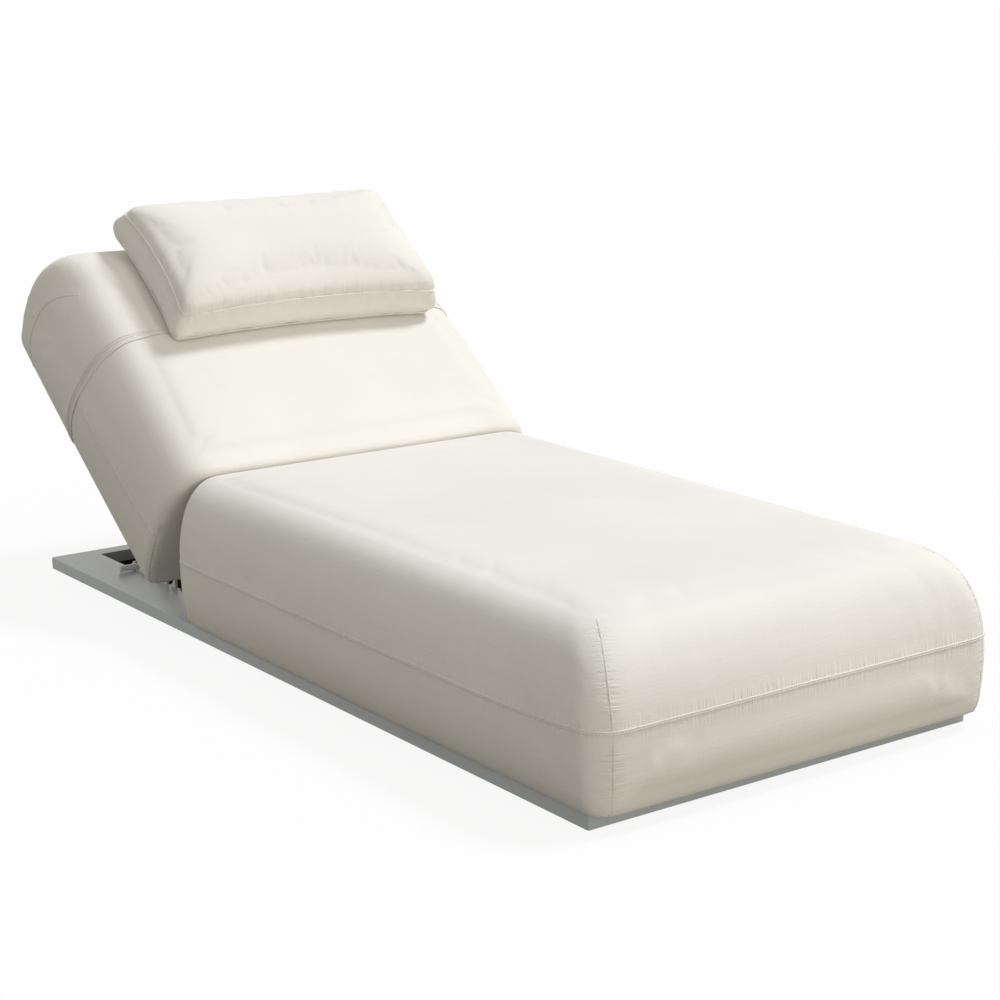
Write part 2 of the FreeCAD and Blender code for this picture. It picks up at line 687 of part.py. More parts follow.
def hinge_leaf(name, middle, towards, home):
    """One leaf with its knuckles, its notches for the other leaf's knuckles, its bore and screw holes."""
    near = "-(Sizes.leaf_gap / 2 + Sizes.leaf_thickness)" if towards < 0 else "Sizes.leaf_gap / 2"
    plate = block(name + "_plate", "Sizes.leaf_width", "Sizes.leaf_thickness", "Sizes.leaf_height",
                  (f"{middle} - Sizes.leaf_width / 2", near, "-Sizes.leaf_height"), home)
    bodies = [plate]
    for step in KNUCKLES[towards]:
        start = f"{middle} + {step} * {knuckle_length} - {knuckle_length} / 2 + Sizes.knuckle_gap / 2"
        length = f"{knuckle_length} - Sizes.knuckle_gap"
        bodies.append(rod(f"{name}_knuckle_{step + 1}", "Sizes.knuckle_radius", length, (start, "0", "0"), home))
    cutters = []
    reach = "(Sizes.knuckle_radius + Sizes.knuckle_gap)"
    for step in KNUCKLES[-towards]:
        start = f"{middle} + {step} * {knuckle_length} - {knuckle_length} / 2 - Sizes.knuckle_gap / 2"
        cutters.append(block(f"{name}_notch_{step + 1}", f"{knuckle_length} + Sizes.knuckle_gap", f"2 * {reach}",
                             f"2 * {reach}", (start, f"-{reach}", f"-{reach}"), home))
    cutters.append(rod(name + "_bore", "Sizes.hinge_pin_radius + Sizes.hole_clearance",
                       "Sizes.leaf_width + 2 * Sizes.overrun",
                       (f"{middle} - Sizes.leaf_width / 2 - Sizes.overrun", "0", "0"), home))
    cutters.append(hinge_screws(name + "_holes", "Sizes.leaf_screw_radius + Sizes.hole_clearance", home, towards))
    return keep(less(name, fused(name + "_whole", bodies), group(name + "_cuts", cutters)))


for word, middle in hinge_places():
    hinge_leaf(f"seat_hinge_leaf_{word}", middle, -1, seat_joint)
    hinge_leaf(f"back_hinge_leaf_{word}", middle, 1, back_joint)
    pin_start = f"{middle} - Sizes.leaf_width / 2"
    shank = rod(f"hinge_pin_{word}_shank", "Sizes.hinge_pin_radius", "Sizes.leaf_width", (pin_start, "0", "0"),
                seat_joint)
    head = rod(f"hinge_pin_{word}_head", "Sizes.hinge_pin_head", "Sizes.hinge_pin_head_height",
               (f"{pin_start} - Sizes.hinge_pin_head_height", "0", "0"), seat_joint)
    keep(fused(f"hinge_pin_{word}", [shank, head]))

keep(hinge_screws("seat_hinge_screws", "Sizes.leaf_screw_radius", seat_joint, -1))
keep(hinge_screws("back_hinge_screws", "Sizes.leaf_screw_radius", back_joint, 1))

# Backrest's carcass: side boards, head board and a ceiling panel round an open well
back_low = "(Sizes.deck_top + Sizes.back_floor_gap)"
back_foot_edge = (
    "(Sizes.pivot_place - (Sizes.pivot_height - Sizes.deck_top - Sizes.back_floor_gap)"
    " * tan(Sizes.joint_lean * 1 deg))"
)
back_head_edge = f"({back_foot_edge} + Sizes.back_length)"
well_top = f"({back_low} + Sizes.well_depth)"
ceiling_foot = (
    f"(Sizes.pivot_place - (Sizes.pivot_height - {well_top} - Sizes.thin_board) * tan(Sizes.joint_lean * 1 deg)"
    f" + ({panel_face} + Sizes.board) / cos(Sizes.joint_lean * 1 deg) + Sizes.soft_clearance)"
)
head_board_face = f"({back_head_edge} - Sizes.head_board_inset)"
for side, word in ((-1, "left"), (1, "right")):
    low_side = "Sizes.well_half" if side > 0 else "-Sizes.well_half - Sizes.side_board"
    keep(
        block(f"back_side_board_{word}", "Sizes.side_board", f"{head_board_face} - Sizes.board - {ceiling_foot}",
              "Sizes.well_depth", (low_side, ceiling_foot, back_low), raised)
    )
keep(
    block("back_head_board", "2 * (Sizes.well_half + Sizes.side_board)", "Sizes.board", "Sizes.well_depth",
          ("-Sizes.well_half - Sizes.side_board", f"{head_board_face} - Sizes.board", back_low), raised)
)

stay_pivot_along = f"({back_foot_edge} + Sizes.stay_place)"
stay_pivot_up = f"({back_low} + Sizes.stay_rise)"
bracket_inner = "(Sizes.stay_arm_thickness / 2 + Sizes.ear_gap)"
bracket_outer = f"({bracket_inner} + Sizes.ear_thickness)"
flange_screw = f"({bracket_outer} + Sizes.flange_reach / 2)"


def arm_places():
    """Middle of each stay arm across the lounger."""
    return [("left", "-Sizes.stay_arm_place"), ("right", "Sizes.stay_arm_place")]


def bracket_shanks(name, radius, low, height):
    """Upright shanks through the flanges of both brackets."""
    return [
        post(f"{name}_{word}_{side + 1}", radius, height, (f"{middle} + {side} * {flange_screw}",
             stay_pivot_along, low), raised)
        for word, middle in arm_places()
        for side in (-1, 1)
    ]


ceiling_blank = block("ceiling_blank", "2 * (Sizes.well_half + Sizes.side_board)",
                      f"{head_board_face} - {ceiling_foot}", "Sizes.thin_board",
                      ("-Sizes.well_half - Sizes.side_board", ceiling_foot, well_top), raised)
ceiling_holes = group(
    "ceiling_holes",
    bracket_shanks("ceiling_hole", "Sizes.bracket_screw_radius + Sizes.hole_clearance",
                   f"{well_top} - Sizes.overrun", "Sizes.thin_board + 2 * Sizes.overrun"),
)
keep(less("back_ceiling_panel", ceiling_blank, ceiling_holes))

# Rest pads: rubber discs under the side boards, on which the flat backrest lies
pad_low = f"({back_low} - Sizes.rest_pad_height)"
pad_rows = (f"{ceiling_foot} + Sizes.rest_pad_inset", f"{head_board_face} - Sizes.rest_pad_inset")
keep(
    group(
        "back_rest_pads",
        [
            post(f"rest_pad_{word}_{index}", "Sizes.rest_pad_radius", "Sizes.rest_pad_height",
                 (f"{side} * (Sizes.well_half + Sizes.side_board / 2)", along, pad_low), raised)
            for side, word in ((-1, "left"), (1, "right"))
            for index, along in enumerate(pad_rows)
        ],
    )
)

# Stay brackets: folded steel clevises under the ceiling panel
for word, middle in arm_places():
    name = f"stay_bracket_{word}"
    bracket = doc.addObject("PartDesign::Body", name)
    roof = "(Sizes.well_depth - Sizes.stay_rise)"
    reach = f"({bracket_outer} + Sizes.flange_reach)"
    profile = new_sketch(bracket, name + "_profile", "XZ_Plane")
    outline(
        profile,
        [
            (f"-{reach}", f"{roof} - Sizes.ear_thickness"),
            (f"-{bracket_outer}", f"{roof} - Sizes.ear_thickness"),
            (f"-{bracket_outer}", "-Sizes.ear_radius"),
            (f"-{bracket_inner}", "-Sizes.ear_radius"),
            (f"-{bracket_inner}", f"{roof} - Sizes.ear_thickness"),
            (bracket_inner, f"{roof} - Sizes.ear_thickness"),
            (bracket_inner, "-Sizes.ear_radius"),
            (bracket_outer, "-Sizes.ear_radius"),
            (bracket_outer, f"{roof} - Sizes.ear_thickness"),
            (reach, f"{roof} - Sizes.ear_thickness"),
            (reach, roof),
            (f"-{reach}", roof),
        ],
    )
    pad(bracket, profile, name + "_fold", "Sizes.bracket_length", midplane=True)
    bore = new_sketch(bracket, name + "_bore_sketch", "YZ_Plane")
    circle(bore, "Sizes.stay_pin_radius + Sizes.hole_clearance")
    pocket(bracket, bore, name + "_bore", f"2 * {reach}", midplane=True)
    screw_holes = new_sketch(bracket, name + "_screw_sketch", "XY_Plane")
    for side in (-1, 1):
        circle(screw_holes, "Sizes.bracket_screw_radius + Sizes.hole_clearance", f"{side} * {flange_screw}")
    pocket(bracket, screw_holes, name + "_screw_holes", f"2 * {roof} + Sizes.overrun", midplane=True)

    def ear_end_edge(edge):
        """An edge across the free end of an ear."""
        box = edge.BoundBox
        low = box.ZMax < -size("Sizes.ear_radius / 2")
        across = box.XLength > box.YLength + box.ZLength
        return low and across

    round_edges(bracket, name + "_ears", f"Sizes.ear_radius * {EAR_ROUND_SHARE}", ear_end_edge)
    put(bracket, (middle, stay_pivot_along, stay_pivot_up), raised)
    keep(bracket)


# Bracket screws: from inside the well, through the flange and the ceiling panel
def bracket_screw_parts():
    """Shanks and heads, fused pair by pair."""
    flange_under = f"({well_top} - Sizes.ear_thickness)"
    shanks = bracket_shanks("bracket_screw_shank", "Sizes.bracket_screw_radius", flange_under,
                            "Sizes.ear_thickness + Sizes.thin_board")
    heads = bracket_shanks("bracket_screw_head", "Sizes.bracket_screw_head",
                           f"{flange_under} - Sizes.bracket_screw_head_height", "Sizes.bracket_screw_head_height")
    return [fused(f"bracket_screw_{index}", list(pair)) for index, pair in enumerate(zip(shanks, heads))]


keep(group("stay_bracket_screws", bracket_screw_parts()))

# Stay pins: one through each bracket and its arm, with a head on each side
for word, middle in arm_places():
    starts = (f"{middle} - {bracket_outer}", f"{middle} - {bracket_outer} - Sizes.stay_pin_head_height",
              f"{middle} + {bracket_outer}")
    lengths = (f"2 * {bracket_outer}", "Sizes.stay_pin_head_height", "Sizes.stay_pin_head_height")
    radii = ("Sizes.stay_pin_radius", "Sizes.stay_pin_head", "Sizes.stay_pin_head")
    pieces = [
        rod(f"stay_pin_{word}_{number}", radius, length, (start, stay_pivot_along, stay_pivot_up), raised)
        for number, (start, length, radius) in enumerate(zip(starts, lengths, radii))
    ]
    keep(fused(f"stay_pin_{word}", pieces))

# Stay: two flat arms, a foot bar that lies in the racks, and a brace
stay_top = raised.multVec(Vector(0, size(stay_pivot_along), size(stay_pivot_up)))
stay_foot = Vector(0, size("Sizes.bar_place"), size("Sizes.deck_top + Sizes.bar_radius + Sizes.bar_lift"))
stay_line = stay_foot.sub(stay_top)
stay_length = stay_line.Length
stay_frame = Placement(stay_top, Rotation(X_AXIS, math.degrees(math.atan2(stay_line.z, stay_line.y))))
print("stay pivot", stay_top, "stay length", round(stay_length, 2))

for word, middle in arm_places():
    name = f"stay_arm_{word}"
    blank = block(name + "_bar", "Sizes.stay_arm_thickness", f"{stay_length} * 1 mm", "Sizes.stay_arm_width",
                  (f"{middle} - Sizes.stay_arm_thickness / 2", "0", "-Sizes.stay_arm_width / 2"), stay_frame)
    ends = []
    cutters = []
    for number, (along, bore_radius) in enumerate(((0, "Sizes.stay_pin_radius"), (stay_length, "Sizes.bar_radius"))):
        frame = stay_frame.multiply(Placement(Vector(0, along, 0), Rotation()))
        start = (f"{middle} - Sizes.stay_arm_thickness / 2", "0", "0")
        ends.append(rod(f"{name}_eye_{number}", "Sizes.stay_arm_width / 2", "Sizes.stay_arm_thickness", start, frame))
        cut_start = (f"{middle} - Sizes.stay_arm_thickness", "0", "0")
        cutters.append(rod(f"{name}_bore_{number}", f"{bore_radius} + Sizes.hole_clearance",
                           "2 * Sizes.stay_arm_thickness", cut_start, frame))
    keep(less(name, fused(name + "_blank", [blank] + ends), group(name + "_bores", cutters)))

bar_frame = stay_frame.multiply(Placement(Vector(0, stay_length, 0), Rotation()))
bar_blank = rod("stay_foot_bar_blank", "Sizes.bar_radius", "2 * Sizes.bar_half", ("-Sizes.bar_half", "0", "0"),
                bar_frame)
doc.recompute()
foot_bar = doc.addObject("Part::Fillet", "stay_foot_bar")
foot_bar.Base = bar_blank
end_round = size("Sizes.bar_end_round")
foot_bar.Edges = [
    (number, end_round, end_round)
    for number, edge in enumerate(bar_blank.Shape.Edges, start=1)
    if edge.Length > size("Sizes.bar_radius") and edge.BoundBox.XLength < end_round
]
keep(foot_bar)
brace_frame = stay_frame.multiply(Placement(Vector(0, size("Sizes.brace_place"), 0), Rotation()))
brace_half = "(Sizes.stay_arm_place - Sizes.stay_arm_thickness / 2)"
keep(rod("stay_brace", "Sizes.brace_radius", f"2 * {brace_half}", (f"-{brace_half}", "0", "0"), brace_frame))


# Upholstered blocks: each is a stack of rounded rectangles, skinned level by level
def side_edge(start, end, draw_in):
    """One side of a level: a straight line, or an arc drawn in towards the middle."""
    if draw_in == 0:
        return Part.makeLine(start, end)
    along = end.sub(start)
    inward = Vector(-along.y, along.x, 0).normalize()
    middle = start.add(end).multiply(HALF_SHARE).add(inward.multiply(draw_in))
    return Part.Arc(start, middle, end).toShape()


def level(half, low, high, height, foot_radius, head_radius, middle=0, draw_in=0):
    """A rounded rectangle at one height, from its foot side round to its left side."""
    corners = [
        (half, low, foot_radius, -QUARTER_TURN),
        (half, high, head_radius, 0),
        (-half, high, head_radius, QUARTER_TURN),
        (-half, low, foot_radius, 2 * QUARTER_TURN),
    ]
    arcs = []
    for across, along, radius, start_angle in corners:
        centre = Vector(middle + across - math.copysign(radius, across), 0, height)
        centre.y = along + radius if along == low else along - radius
        turns = [math.radians(start_angle + share * QUARTER_TURN) for share in (0, HALF_SHARE, 1)]
        spots = [centre.add(Vector(math.cos(turn), math.sin(turn), 0).multiply(radius)) for turn in turns]
        arcs.append(spots)
    edges = []
    for here, following in zip(arcs, arcs[1:] + arcs[:1]):
        edges.append(Part.Arc(*here).toShape())
        edges.append(side_edge(here[2], following[0], draw_in))
    return Part.Wire(edges)


def block_levels(bottom, seam, top, crown):
    """Levels of a block: height, swell towards the seam, drop over the upper edge, share of the crown."""
    found = []
    for share in LOWER_SHARES:
        swell = math.sin(share * math.pi / 2)
        found.append((seam - (seam - bottom) * math.cos(share * math.pi / 2), swell, 0, 1))
    for share in UPPER_SHARES:
        turn = share * math.pi / 2
        up = math.sin(turn) ** EDGE_POWER_SHARE
        across = max(math.cos(turn), 0) ** EDGE_POWER_SHARE
        found.append((seam + (top - seam) * up, 1, 1 - across, 1))
    for share in CROWN_SHARES:
        found.append((top + crown * (1 - share * share), 1, 1, share))
    return found


def upholstered(bottom, seam, top, crown, bulges, rounds, ends, thinner=0):
    """Solid of a block. The bulges and rounds are for sides, foot end and head end, and the ends are two
    functions of the height that give where the block starts and stops. Thinner draws every face in."""
    side_bulge, foot_bulge, head_bulge = bulges
    side_round, foot_round, head_round = rounds
    wires = []
    for height, swell, drop, share in block_levels(bottom + thinner, seam, top - thinner, crown):
        half = size("Sizes.deck_width / 2") + side_bulge * swell - side_round * drop - thinner
        foot_in = foot_round * crease_drop(drop, height, top, foot_round, side_round)
        head_in = head_round * crease_drop(drop, height, top, head_round, side_round)
        low = ends[0](height) - foot_bulge * swell + foot_in + thinner
        high = ends[1](height) + head_bulge * swell - head_in - thinner
        low, high = (
            (low + high) / 2 - (high - low) / 2 * share,
            (low + high) / 2 + (high - low) / 2 * share,
        )
        half = half * share
        growth = CORNER_GROWTH_SHARE * side_round * drop
        foot_radius = (corner_for(foot_round, side_round) + growth) * share
        head_radius = (corner_for(head_round, side_round) + growth) * share
        wires.append(level(half, low, high, height, foot_radius, head_radius))
    return Part.makeLoft(wires, True, True)


def corner_for(end_round, side_round):
    """Corner radius: that of the block at a free end, and a small one at the joint."""
    return size("Sizes.corner_radius") if end_round >= side_round else size("Sizes.joint_corner")


def crease_drop(drop, height, top, end_round, side_round):
    """Share of an end's rounding that is reached: with the sides at a free end, near the top at the crease."""
    if end_round >= side_round:
        return drop
    rise = min(max((height - (top - end_round)) / end_round, 0), 1)
    return 1 - math.sqrt(1 - rise * rise)


def feature(name, shape, home=HERE):
    """An object with a worked-out shape, placed in the frame that it belongs to."""
    item = doc.addObject("Part::Feature", name)
    item.Shape = shape
    item.Placement = home
    return item


def cutting_block(low, high, home, spare):
    """A block between two corners given by expressions, larger all round by the spare."""
    corner = Vector(*[size(expression) - spare for expression in low])
    far = Vector(*[size(expression) + spare for expression in high])
    shape = Part.makeBox(far.x - corner.x, far.y - corner.y, far.z - corner.z)
    shape.Placement = home.multiply(Placement(corner, Rotation()))
    return shape


spare = size("Sizes.soft_clearance")
half_gap = size("Sizes.joint_gap / 2")


def panel_room(towards, height, home):
    """Room in the upholstery for an upright panel and the hinges on it."""
    near, far = (f"-({panel_face} + Sizes.board)", f"-{panel_face}")
    leaf_near, leaf_far = (f"-{panel_face}", "Sizes.overrun")
    if towards > 0:
        near, far = (panel_face, f"({panel_face} + Sizes.board)")
        leaf_near, leaf_far = ("-Sizes.overrun", panel_face)
    rooms = [
        cutting_block(("-Sizes.board_half", near, f"-{height}"),
                      ("Sizes.board_half", far, "-Sizes.panel_drop"), home, spare)
    ]
    for _, middle in hinge_places():
        edge = "(Sizes.leaf_width / 2 + Sizes.hinge_pin_head_height)"
        rooms.append(
            cutting_block((f"{middle} - {edge}", leaf_near, "-Sizes.leaf_height"),
                          (f"{middle} + {edge}", leaf_far, "Sizes.overrun"), home, spare)
        )
        barrel = Part.makeCylinder(size("Sizes.knuckle_radius + Sizes.soft_clearance"), size(f"2 * {edge}"),
                                   Vector(size(f"{middle} - {edge}"), 0, 0), X_AXIS)
        barrel.Placement = home
        rooms.append(barrel)
    return rooms


def cut_all(shape, tools):
    """The shape less every tool."""
    return shape.cut(tools[0].multiFuse(tools[1:]) if len(tools) > 1 else tools[0])


# Seat cushion: foam and woven cover in one block over its board
seat_form = upholstered(
    size("Sizes.deck_top"),
    size("Sizes.seam_height"),
    size("Sizes.seat_top"),
    size("Sizes.seat_crown"),
    (size("Sizes.side_bulge"), size("Sizes.foot_bulge"), 0),
    (size("Sizes.edge_round"), size("Sizes.edge_round"), size("Sizes.seat_crease_round")),
    (lambda height: size("-Sizes.deck_length / 2"), lambda height: joint_place(height, -half_gap)),
)
board_room = cutting_block(
    ("-Sizes.board_half", "-Sizes.deck_length / 2 + Sizes.seat_board_inset", "Sizes.deck_top - Sizes.overrun"),
    ("Sizes.board_half", f"{seat_board_rear}", "Sizes.deck_top + Sizes.board"),
    HERE,
    spare,
)
keep(feature("seat_cushion", cut_all(seat_form, [board_room] + panel_room(-1, seat_panel_height, seat_joint))))


# Backrest cushion: the same build, modelled flat and then turned up about the hinge axis
def back_form(thinner=0):
    """The backrest's outer form, or one that is thinner all round."""
    return upholstered(
        size(back_low),
        size("Sizes.back_seam_height"),
        size("Sizes.back_top"),
        size("Sizes.back_crown"),
        (size("Sizes.back_side_bulge"), 0, size("Sizes.head_bulge")),
        (size("Sizes.edge_round"), size("Sizes.back_crease_round"), size("Sizes.edge_round")),
        (lambda height: joint_place(height, half_gap), lambda height: size(back_head_edge)),
        thinner,
    )


carcass_room = cutting_block(
    ("-Sizes.well_half - Sizes.side_board", f"{back_foot_edge} + {panel_face} + Sizes.board / 2",
     f"{back_low} - Sizes.overrun"),
    ("Sizes.well_half + Sizes.side_board", head_board_face, f"{well_top} + Sizes.thin_board"),
    HERE,
    spare,
)
hood_hem = f"({back_head_edge} - Sizes.hood_length)"
far_half = "Sizes.deck_width"
past_hem = cutting_block((f"-{far_half}", hood_hem, f"{back_low} - Sizes.overrun"),
                         (far_half, f"{back_head_edge} + {far_half}", f"Sizes.back_top + {far_half}"), HERE, 0)
whole_back = back_form()
core_back = back_form(size("Sizes.hood_thickness"))
hood_room = back_form(size("Sizes.hood_thickness - Sizes.soft_clearance"))
slim_head = core_back.common(past_hem)
cushion = whole_back.cut(past_hem).fuse(slim_head).removeSplitter()
cushion = cut_all(cushion, [carcass_room] + panel_room(1, back_panel_height, flat_joint))
keep(feature("backrest_cushion", cushion, raised))

# Hood: a fitted fabric cap over the backrest's head end
hood = whole_back.common(past_hem).cut(hood_room)
mouth_inset = "(Sizes.head_board_inset / 2)"
hood_mouth = cutting_block(
    (f"-Sizes.deck_width / 2 + {mouth_inset}", f"{hood_hem} - Sizes.overrun", f"{back_low} - Sizes.overrun"),
    (f"Sizes.deck_width / 2 - {mouth_inset}", f"{back_head_edge} - {mouth_inset}",
     f"{back_low} + Sizes.hood_thickness * 2"),
    HERE,
    0,
)
keep(feature("backrest_hood", hood.cut(hood_mouth), raised))

# Head pillow: loose box cushion with a side band between two welts
pillow_half = size("Sizes.pillow_width / 2")
pillow_high = size(f"{back_head_edge} - Sizes.pillow_head_gap")
pillow_low = pillow_high - size("Sizes.pillow_length")
pillow_half_length = size("Sizes.pillow_length / 2")
pillow_under = size("Sizes.back_top + Sizes.pillow_gap") + size("Sizes.back_crown") * PILLOW_SEAT_SHARE
welt_low = pillow_under + size("Sizes.pillow_under")
welt_high = welt_low + size("Sizes.pillow_boxing")
corner = size("Sizes.pillow_corner")


def pillow_level(height, inset):
    """One level of the pillow, drawn in all round by the inset."""
    radius = min(corner + inset * CORNER_GROWTH_SHARE, PILLOW_CORNER_SHARE * (pillow_half_length - inset))
    return level(pillow_half - inset, pillow_low + inset, pillow_high - inset, height, radius, radius,
                 size("Sizes.pillow_place"), size("Sizes.pillow_draw_in"))


UNDER_INSET_SHARE = 1.6
BAND_SWELL_SHARE = 0.12
BAND_IN_SHARE = 0.2
band_swell = corner * BAND_SWELL_SHARE
upper_inset = corner * BAND_IN_SHARE
pillow_wires = [
    pillow_level(pillow_under, corner * UNDER_INSET_SHARE),
    pillow_level(welt_low, 0),
    pillow_level((welt_low + welt_high) / 2, -band_swell + upper_inset / 2),
    pillow_level(welt_high, upper_inset),
]
for share in PILLOW_CROWN_SHARES:
    rise = size("Sizes.pillow_crown") * math.sin(share * math.pi / 2)
    reach = pillow_half_length - upper_inset
    inset = upper_inset + reach * (1 - math.cos(share * math.pi / 2)) * PILLOW_DRAW_IN_SHARE
    pillow_wires.append(pillow_level(welt_high + rise, inset))
keep(feature("head_pillow", Part.makeLoft(pillow_wires, True, True), raised))

# Checks, then one STEP file for each piece
doc.recompute()
for item in doc.Objects:
    if "Invalid" in item.State or "Error" in item.State:
        raise RuntimeError(f"{item.Label} failed: {item.State}")
for piece in kept:
    if piece.Shape.isNull() or not piece.Shape.isValid():
        raise RuntimeError(f"{piece.Label} has no valid shape")
for piece in kept:
    piece.Shape.exportStep(f"parts/{piece.Label}.step")
    print(piece.Label, len(piece.Shape.Solids), round(piece.Shape.Volume))
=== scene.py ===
import math

import bmesh
import bpy
from mathutils import Matrix, Vector
from mathutils.bvhtree import BVHTree
from mathutils.kdtree import KDTree
from mathutils.noise import hetero_terrain


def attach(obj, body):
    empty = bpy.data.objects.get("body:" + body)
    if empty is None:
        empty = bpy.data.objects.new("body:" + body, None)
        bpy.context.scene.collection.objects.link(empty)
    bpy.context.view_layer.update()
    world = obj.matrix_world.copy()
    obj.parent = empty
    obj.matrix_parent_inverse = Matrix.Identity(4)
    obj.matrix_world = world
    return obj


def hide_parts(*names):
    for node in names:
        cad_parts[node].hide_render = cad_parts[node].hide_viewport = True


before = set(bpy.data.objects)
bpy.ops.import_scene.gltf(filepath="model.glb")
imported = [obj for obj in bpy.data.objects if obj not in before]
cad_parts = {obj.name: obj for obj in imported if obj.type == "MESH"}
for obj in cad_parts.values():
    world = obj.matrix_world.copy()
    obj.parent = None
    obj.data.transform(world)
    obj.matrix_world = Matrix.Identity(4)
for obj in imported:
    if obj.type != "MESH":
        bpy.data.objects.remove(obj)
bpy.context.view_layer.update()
scene = bpy.context.scene

# The view: a long lens from the lounger's left front, a little above it, looking down over the foot end.
camera_data = bpy.data.cameras.new("camera")
camera_data.lens = 78.87
camera_data.clip_end = 600
camera = bpy.data.objects.new("camera", camera_data)
camera.location = (-2.5558, -3.5948, 1.3697)
camera.rotation_euler = (math.radians(90 - 13.6855), 0, math.radians(-36.594))
scene.collection.objects.link(camera)
scene.camera = camera
scene.view_settings.view_transform = "Standard"

# The room: a plain pale floor, a soft sun from above on the right, a low fill from the foot end, an even sky.
# The floor and the sky look white to the camera and in gloss, and light the lounger plainly. Under the deck
# the floor is painted near black and does not glow there: painted shade.


def lamp(name, direction, strength, angle, colour):
    """A sun that shines along a direction."""
    data = bpy.data.lights.new(name, "SUN")
    data.energy = strength
    data.angle = math.radians(angle)
    data.color = colour
    sun = bpy.data.objects.new(name, data)
    sun.rotation_euler = Vector(direction).to_track_quat("-Z", "Y").to_euler()
    scene.collection.objects.link(sun)


lamp("key_sun", (-0.62, 0.18, -1.0), 2.06, 12, (0.90, 0.93, 0.99))
lamp("front_fill", (-0.15, 1.0, -0.06), 0.68, 9, (1.0, 0.94, 0.80))


def link(tree, start, end):
    """Joins two sockets, each given as a node and a socket's name or number."""
    tree.links.new(start[0].outputs[start[1]], end[0].inputs[end[1]])


def node(tree, kind, **values):
    """A shader node with its properties and its sockets' constant values set."""
    made = tree.nodes.new(kind)
    for name, value in values.items():
        if hasattr(made, name):
            setattr(made, name, value)
        else:
            made.inputs[name.replace("_", " ")].default_value = value
    return made


def maths(tree, operation, first, second=None, value=None):
    """A Math node on two sockets, on a socket and a number, or on one socket."""
    made = node(tree, "ShaderNodeMath", operation=operation)
    link(tree, first, (made, 0))
    if second is not None:
        link(tree, second, (made, 1))
    elif value is not None:
        made.inputs[1].default_value = value
    return made


def seen_rays(tree):
    """1 for camera, glossy and transmission rays, 0 for the light that falls on things."""
    path = node(tree, "ShaderNodeLightPath")
    first = maths(tree, "MAXIMUM", (path, "Is Camera Ray"), (path, "Is Glossy Ray"))
    return maths(tree, "MAXIMUM", (first, 0), (path, "Is Transmission Ray"))


world = bpy.data.worlds.new("sky")
world.use_nodes = True
sky = world.node_tree
sky.nodes.clear()
sky_light = node(sky, "ShaderNodeBackground", Color=(1.0, 0.98, 0.91, 1), Strength=0.54)
sky_seen = node(sky, "ShaderNodeBackground", Color=(1, 1, 1, 1), Strength=1.0)
sky_mix = node(sky, "ShaderNodeMixShader")
sky_out = node(sky, "ShaderNodeOutputWorld")
link(sky, (seen_rays(sky), 0), (sky_mix, 0))
link(sky, (sky_light, 0), (sky_mix, 1))
link(sky, (sky_seen, 0), (sky_mix, 2))
link(sky, (sky_mix, 0), (sky_out, 0))
scene.world = world

FLOOR_HALF = 150
SHADED_HALF_WIDTH = 0.446
SHADED_HALF_LENGTH = 0.996
FLOOR_GLOW = 0.90
floor_shape = bmesh.new()
bmesh.ops.create_grid(floor_shape, x_segments=1, y_segments=1, size=FLOOR_HALF)
floor_mesh = bpy.data.meshes.new("floor")
floor_shape.to_mesh(floor_mesh)
floor_shape.free()
floor = bpy.data.objects.new("floor", floor_mesh)
scene.collection.objects.link(floor)
floor_paint = bpy.data.materials.new("floor")
floor_paint.use_nodes = True
tree = floor_paint.node_tree
tree.nodes.clear()
apart = node(tree, "ShaderNodeVectorMath", operation="ABSOLUTE")
link(tree, (node(tree, "ShaderNodeTexCoord"), "Object"), (apart, 0))
sides = node(tree, "ShaderNodeSeparateXYZ")
link(tree, (apart, 0), (sides, 0))
# This mask is 1 beside the rectangle under the deck and 0 inside it, where the floor gets painted shade.
past_side = maths(tree, "GREATER_THAN", (sides, "X"), value=SHADED_HALF_WIDTH)
past_end = maths(tree, "GREATER_THAN", (sides, "Y"), value=SHADED_HALF_LENGTH)
clear = maths(tree, "MAXIMUM", (past_side, 0), (past_end, 0))
# Painted shade: inside the rectangle under the deck the floor's colour is near black and its glow is off.
floor_with_painted_shade = node(tree, "ShaderNodeMix", data_type="RGBA")
floor_with_painted_shade.inputs["A"].default_value = (0.02, 0.02, 0.02, 1)
paint = node(tree, "ShaderNodeMix", data_type="RGBA")
paint.inputs["A"].default_value = (0.28, 0.265, 0.235, 1)
paint.inputs["B"].default_value = (0.86, 0.86, 0.855, 1)
link(tree, (seen_rays(tree), 0), (paint, "Factor"))
link(tree, (paint, "Result"), (floor_with_painted_shade, "B"))
link(tree, (clear, 0), (floor_with_painted_shade, "Factor"))
matt = node(tree, "ShaderNodeBsdfDiffuse")
link(tree, (floor_with_painted_shade, "Result"), (matt, 0))
glow = node(tree, "ShaderNodeEmission", Color=(1, 1, 1, 1), Strength=1.0)
glow_seen = maths(tree, "MULTIPLY", (seen_rays(tree), 0), value=FLOOR_GLOW)
glow_clear = maths(tree, "MULTIPLY", (glow_seen, 0), (clear, 0))
mixed = node(tree, "ShaderNodeMixShader")
surface = node(tree, "ShaderNodeOutputMaterial")
link(tree, (glow_clear, 0), (mixed, 0))
link(tree, (matt, 0), (mixed, 1))
link(tree, (glow, 0), (mixed, 2))
link(tree, (mixed, 0), (surface, 0))
floor_mesh.materials.append(floor_paint)

# Deck, racks and stay: aluminium plate and tube with a fine satin powder coat in pale blue grey.
# The coat is a little duller in patches, and its edges are painted lighter as a painted highlight, most of
# all on the racks' teeth.


def shader(name):
    """A new material: its node tree and its main shader."""
    material = bpy.data.materials.new(name)
    material.use_nodes = True
    return material, material.node_tree, material.node_tree.nodes["Principled BSDF"]


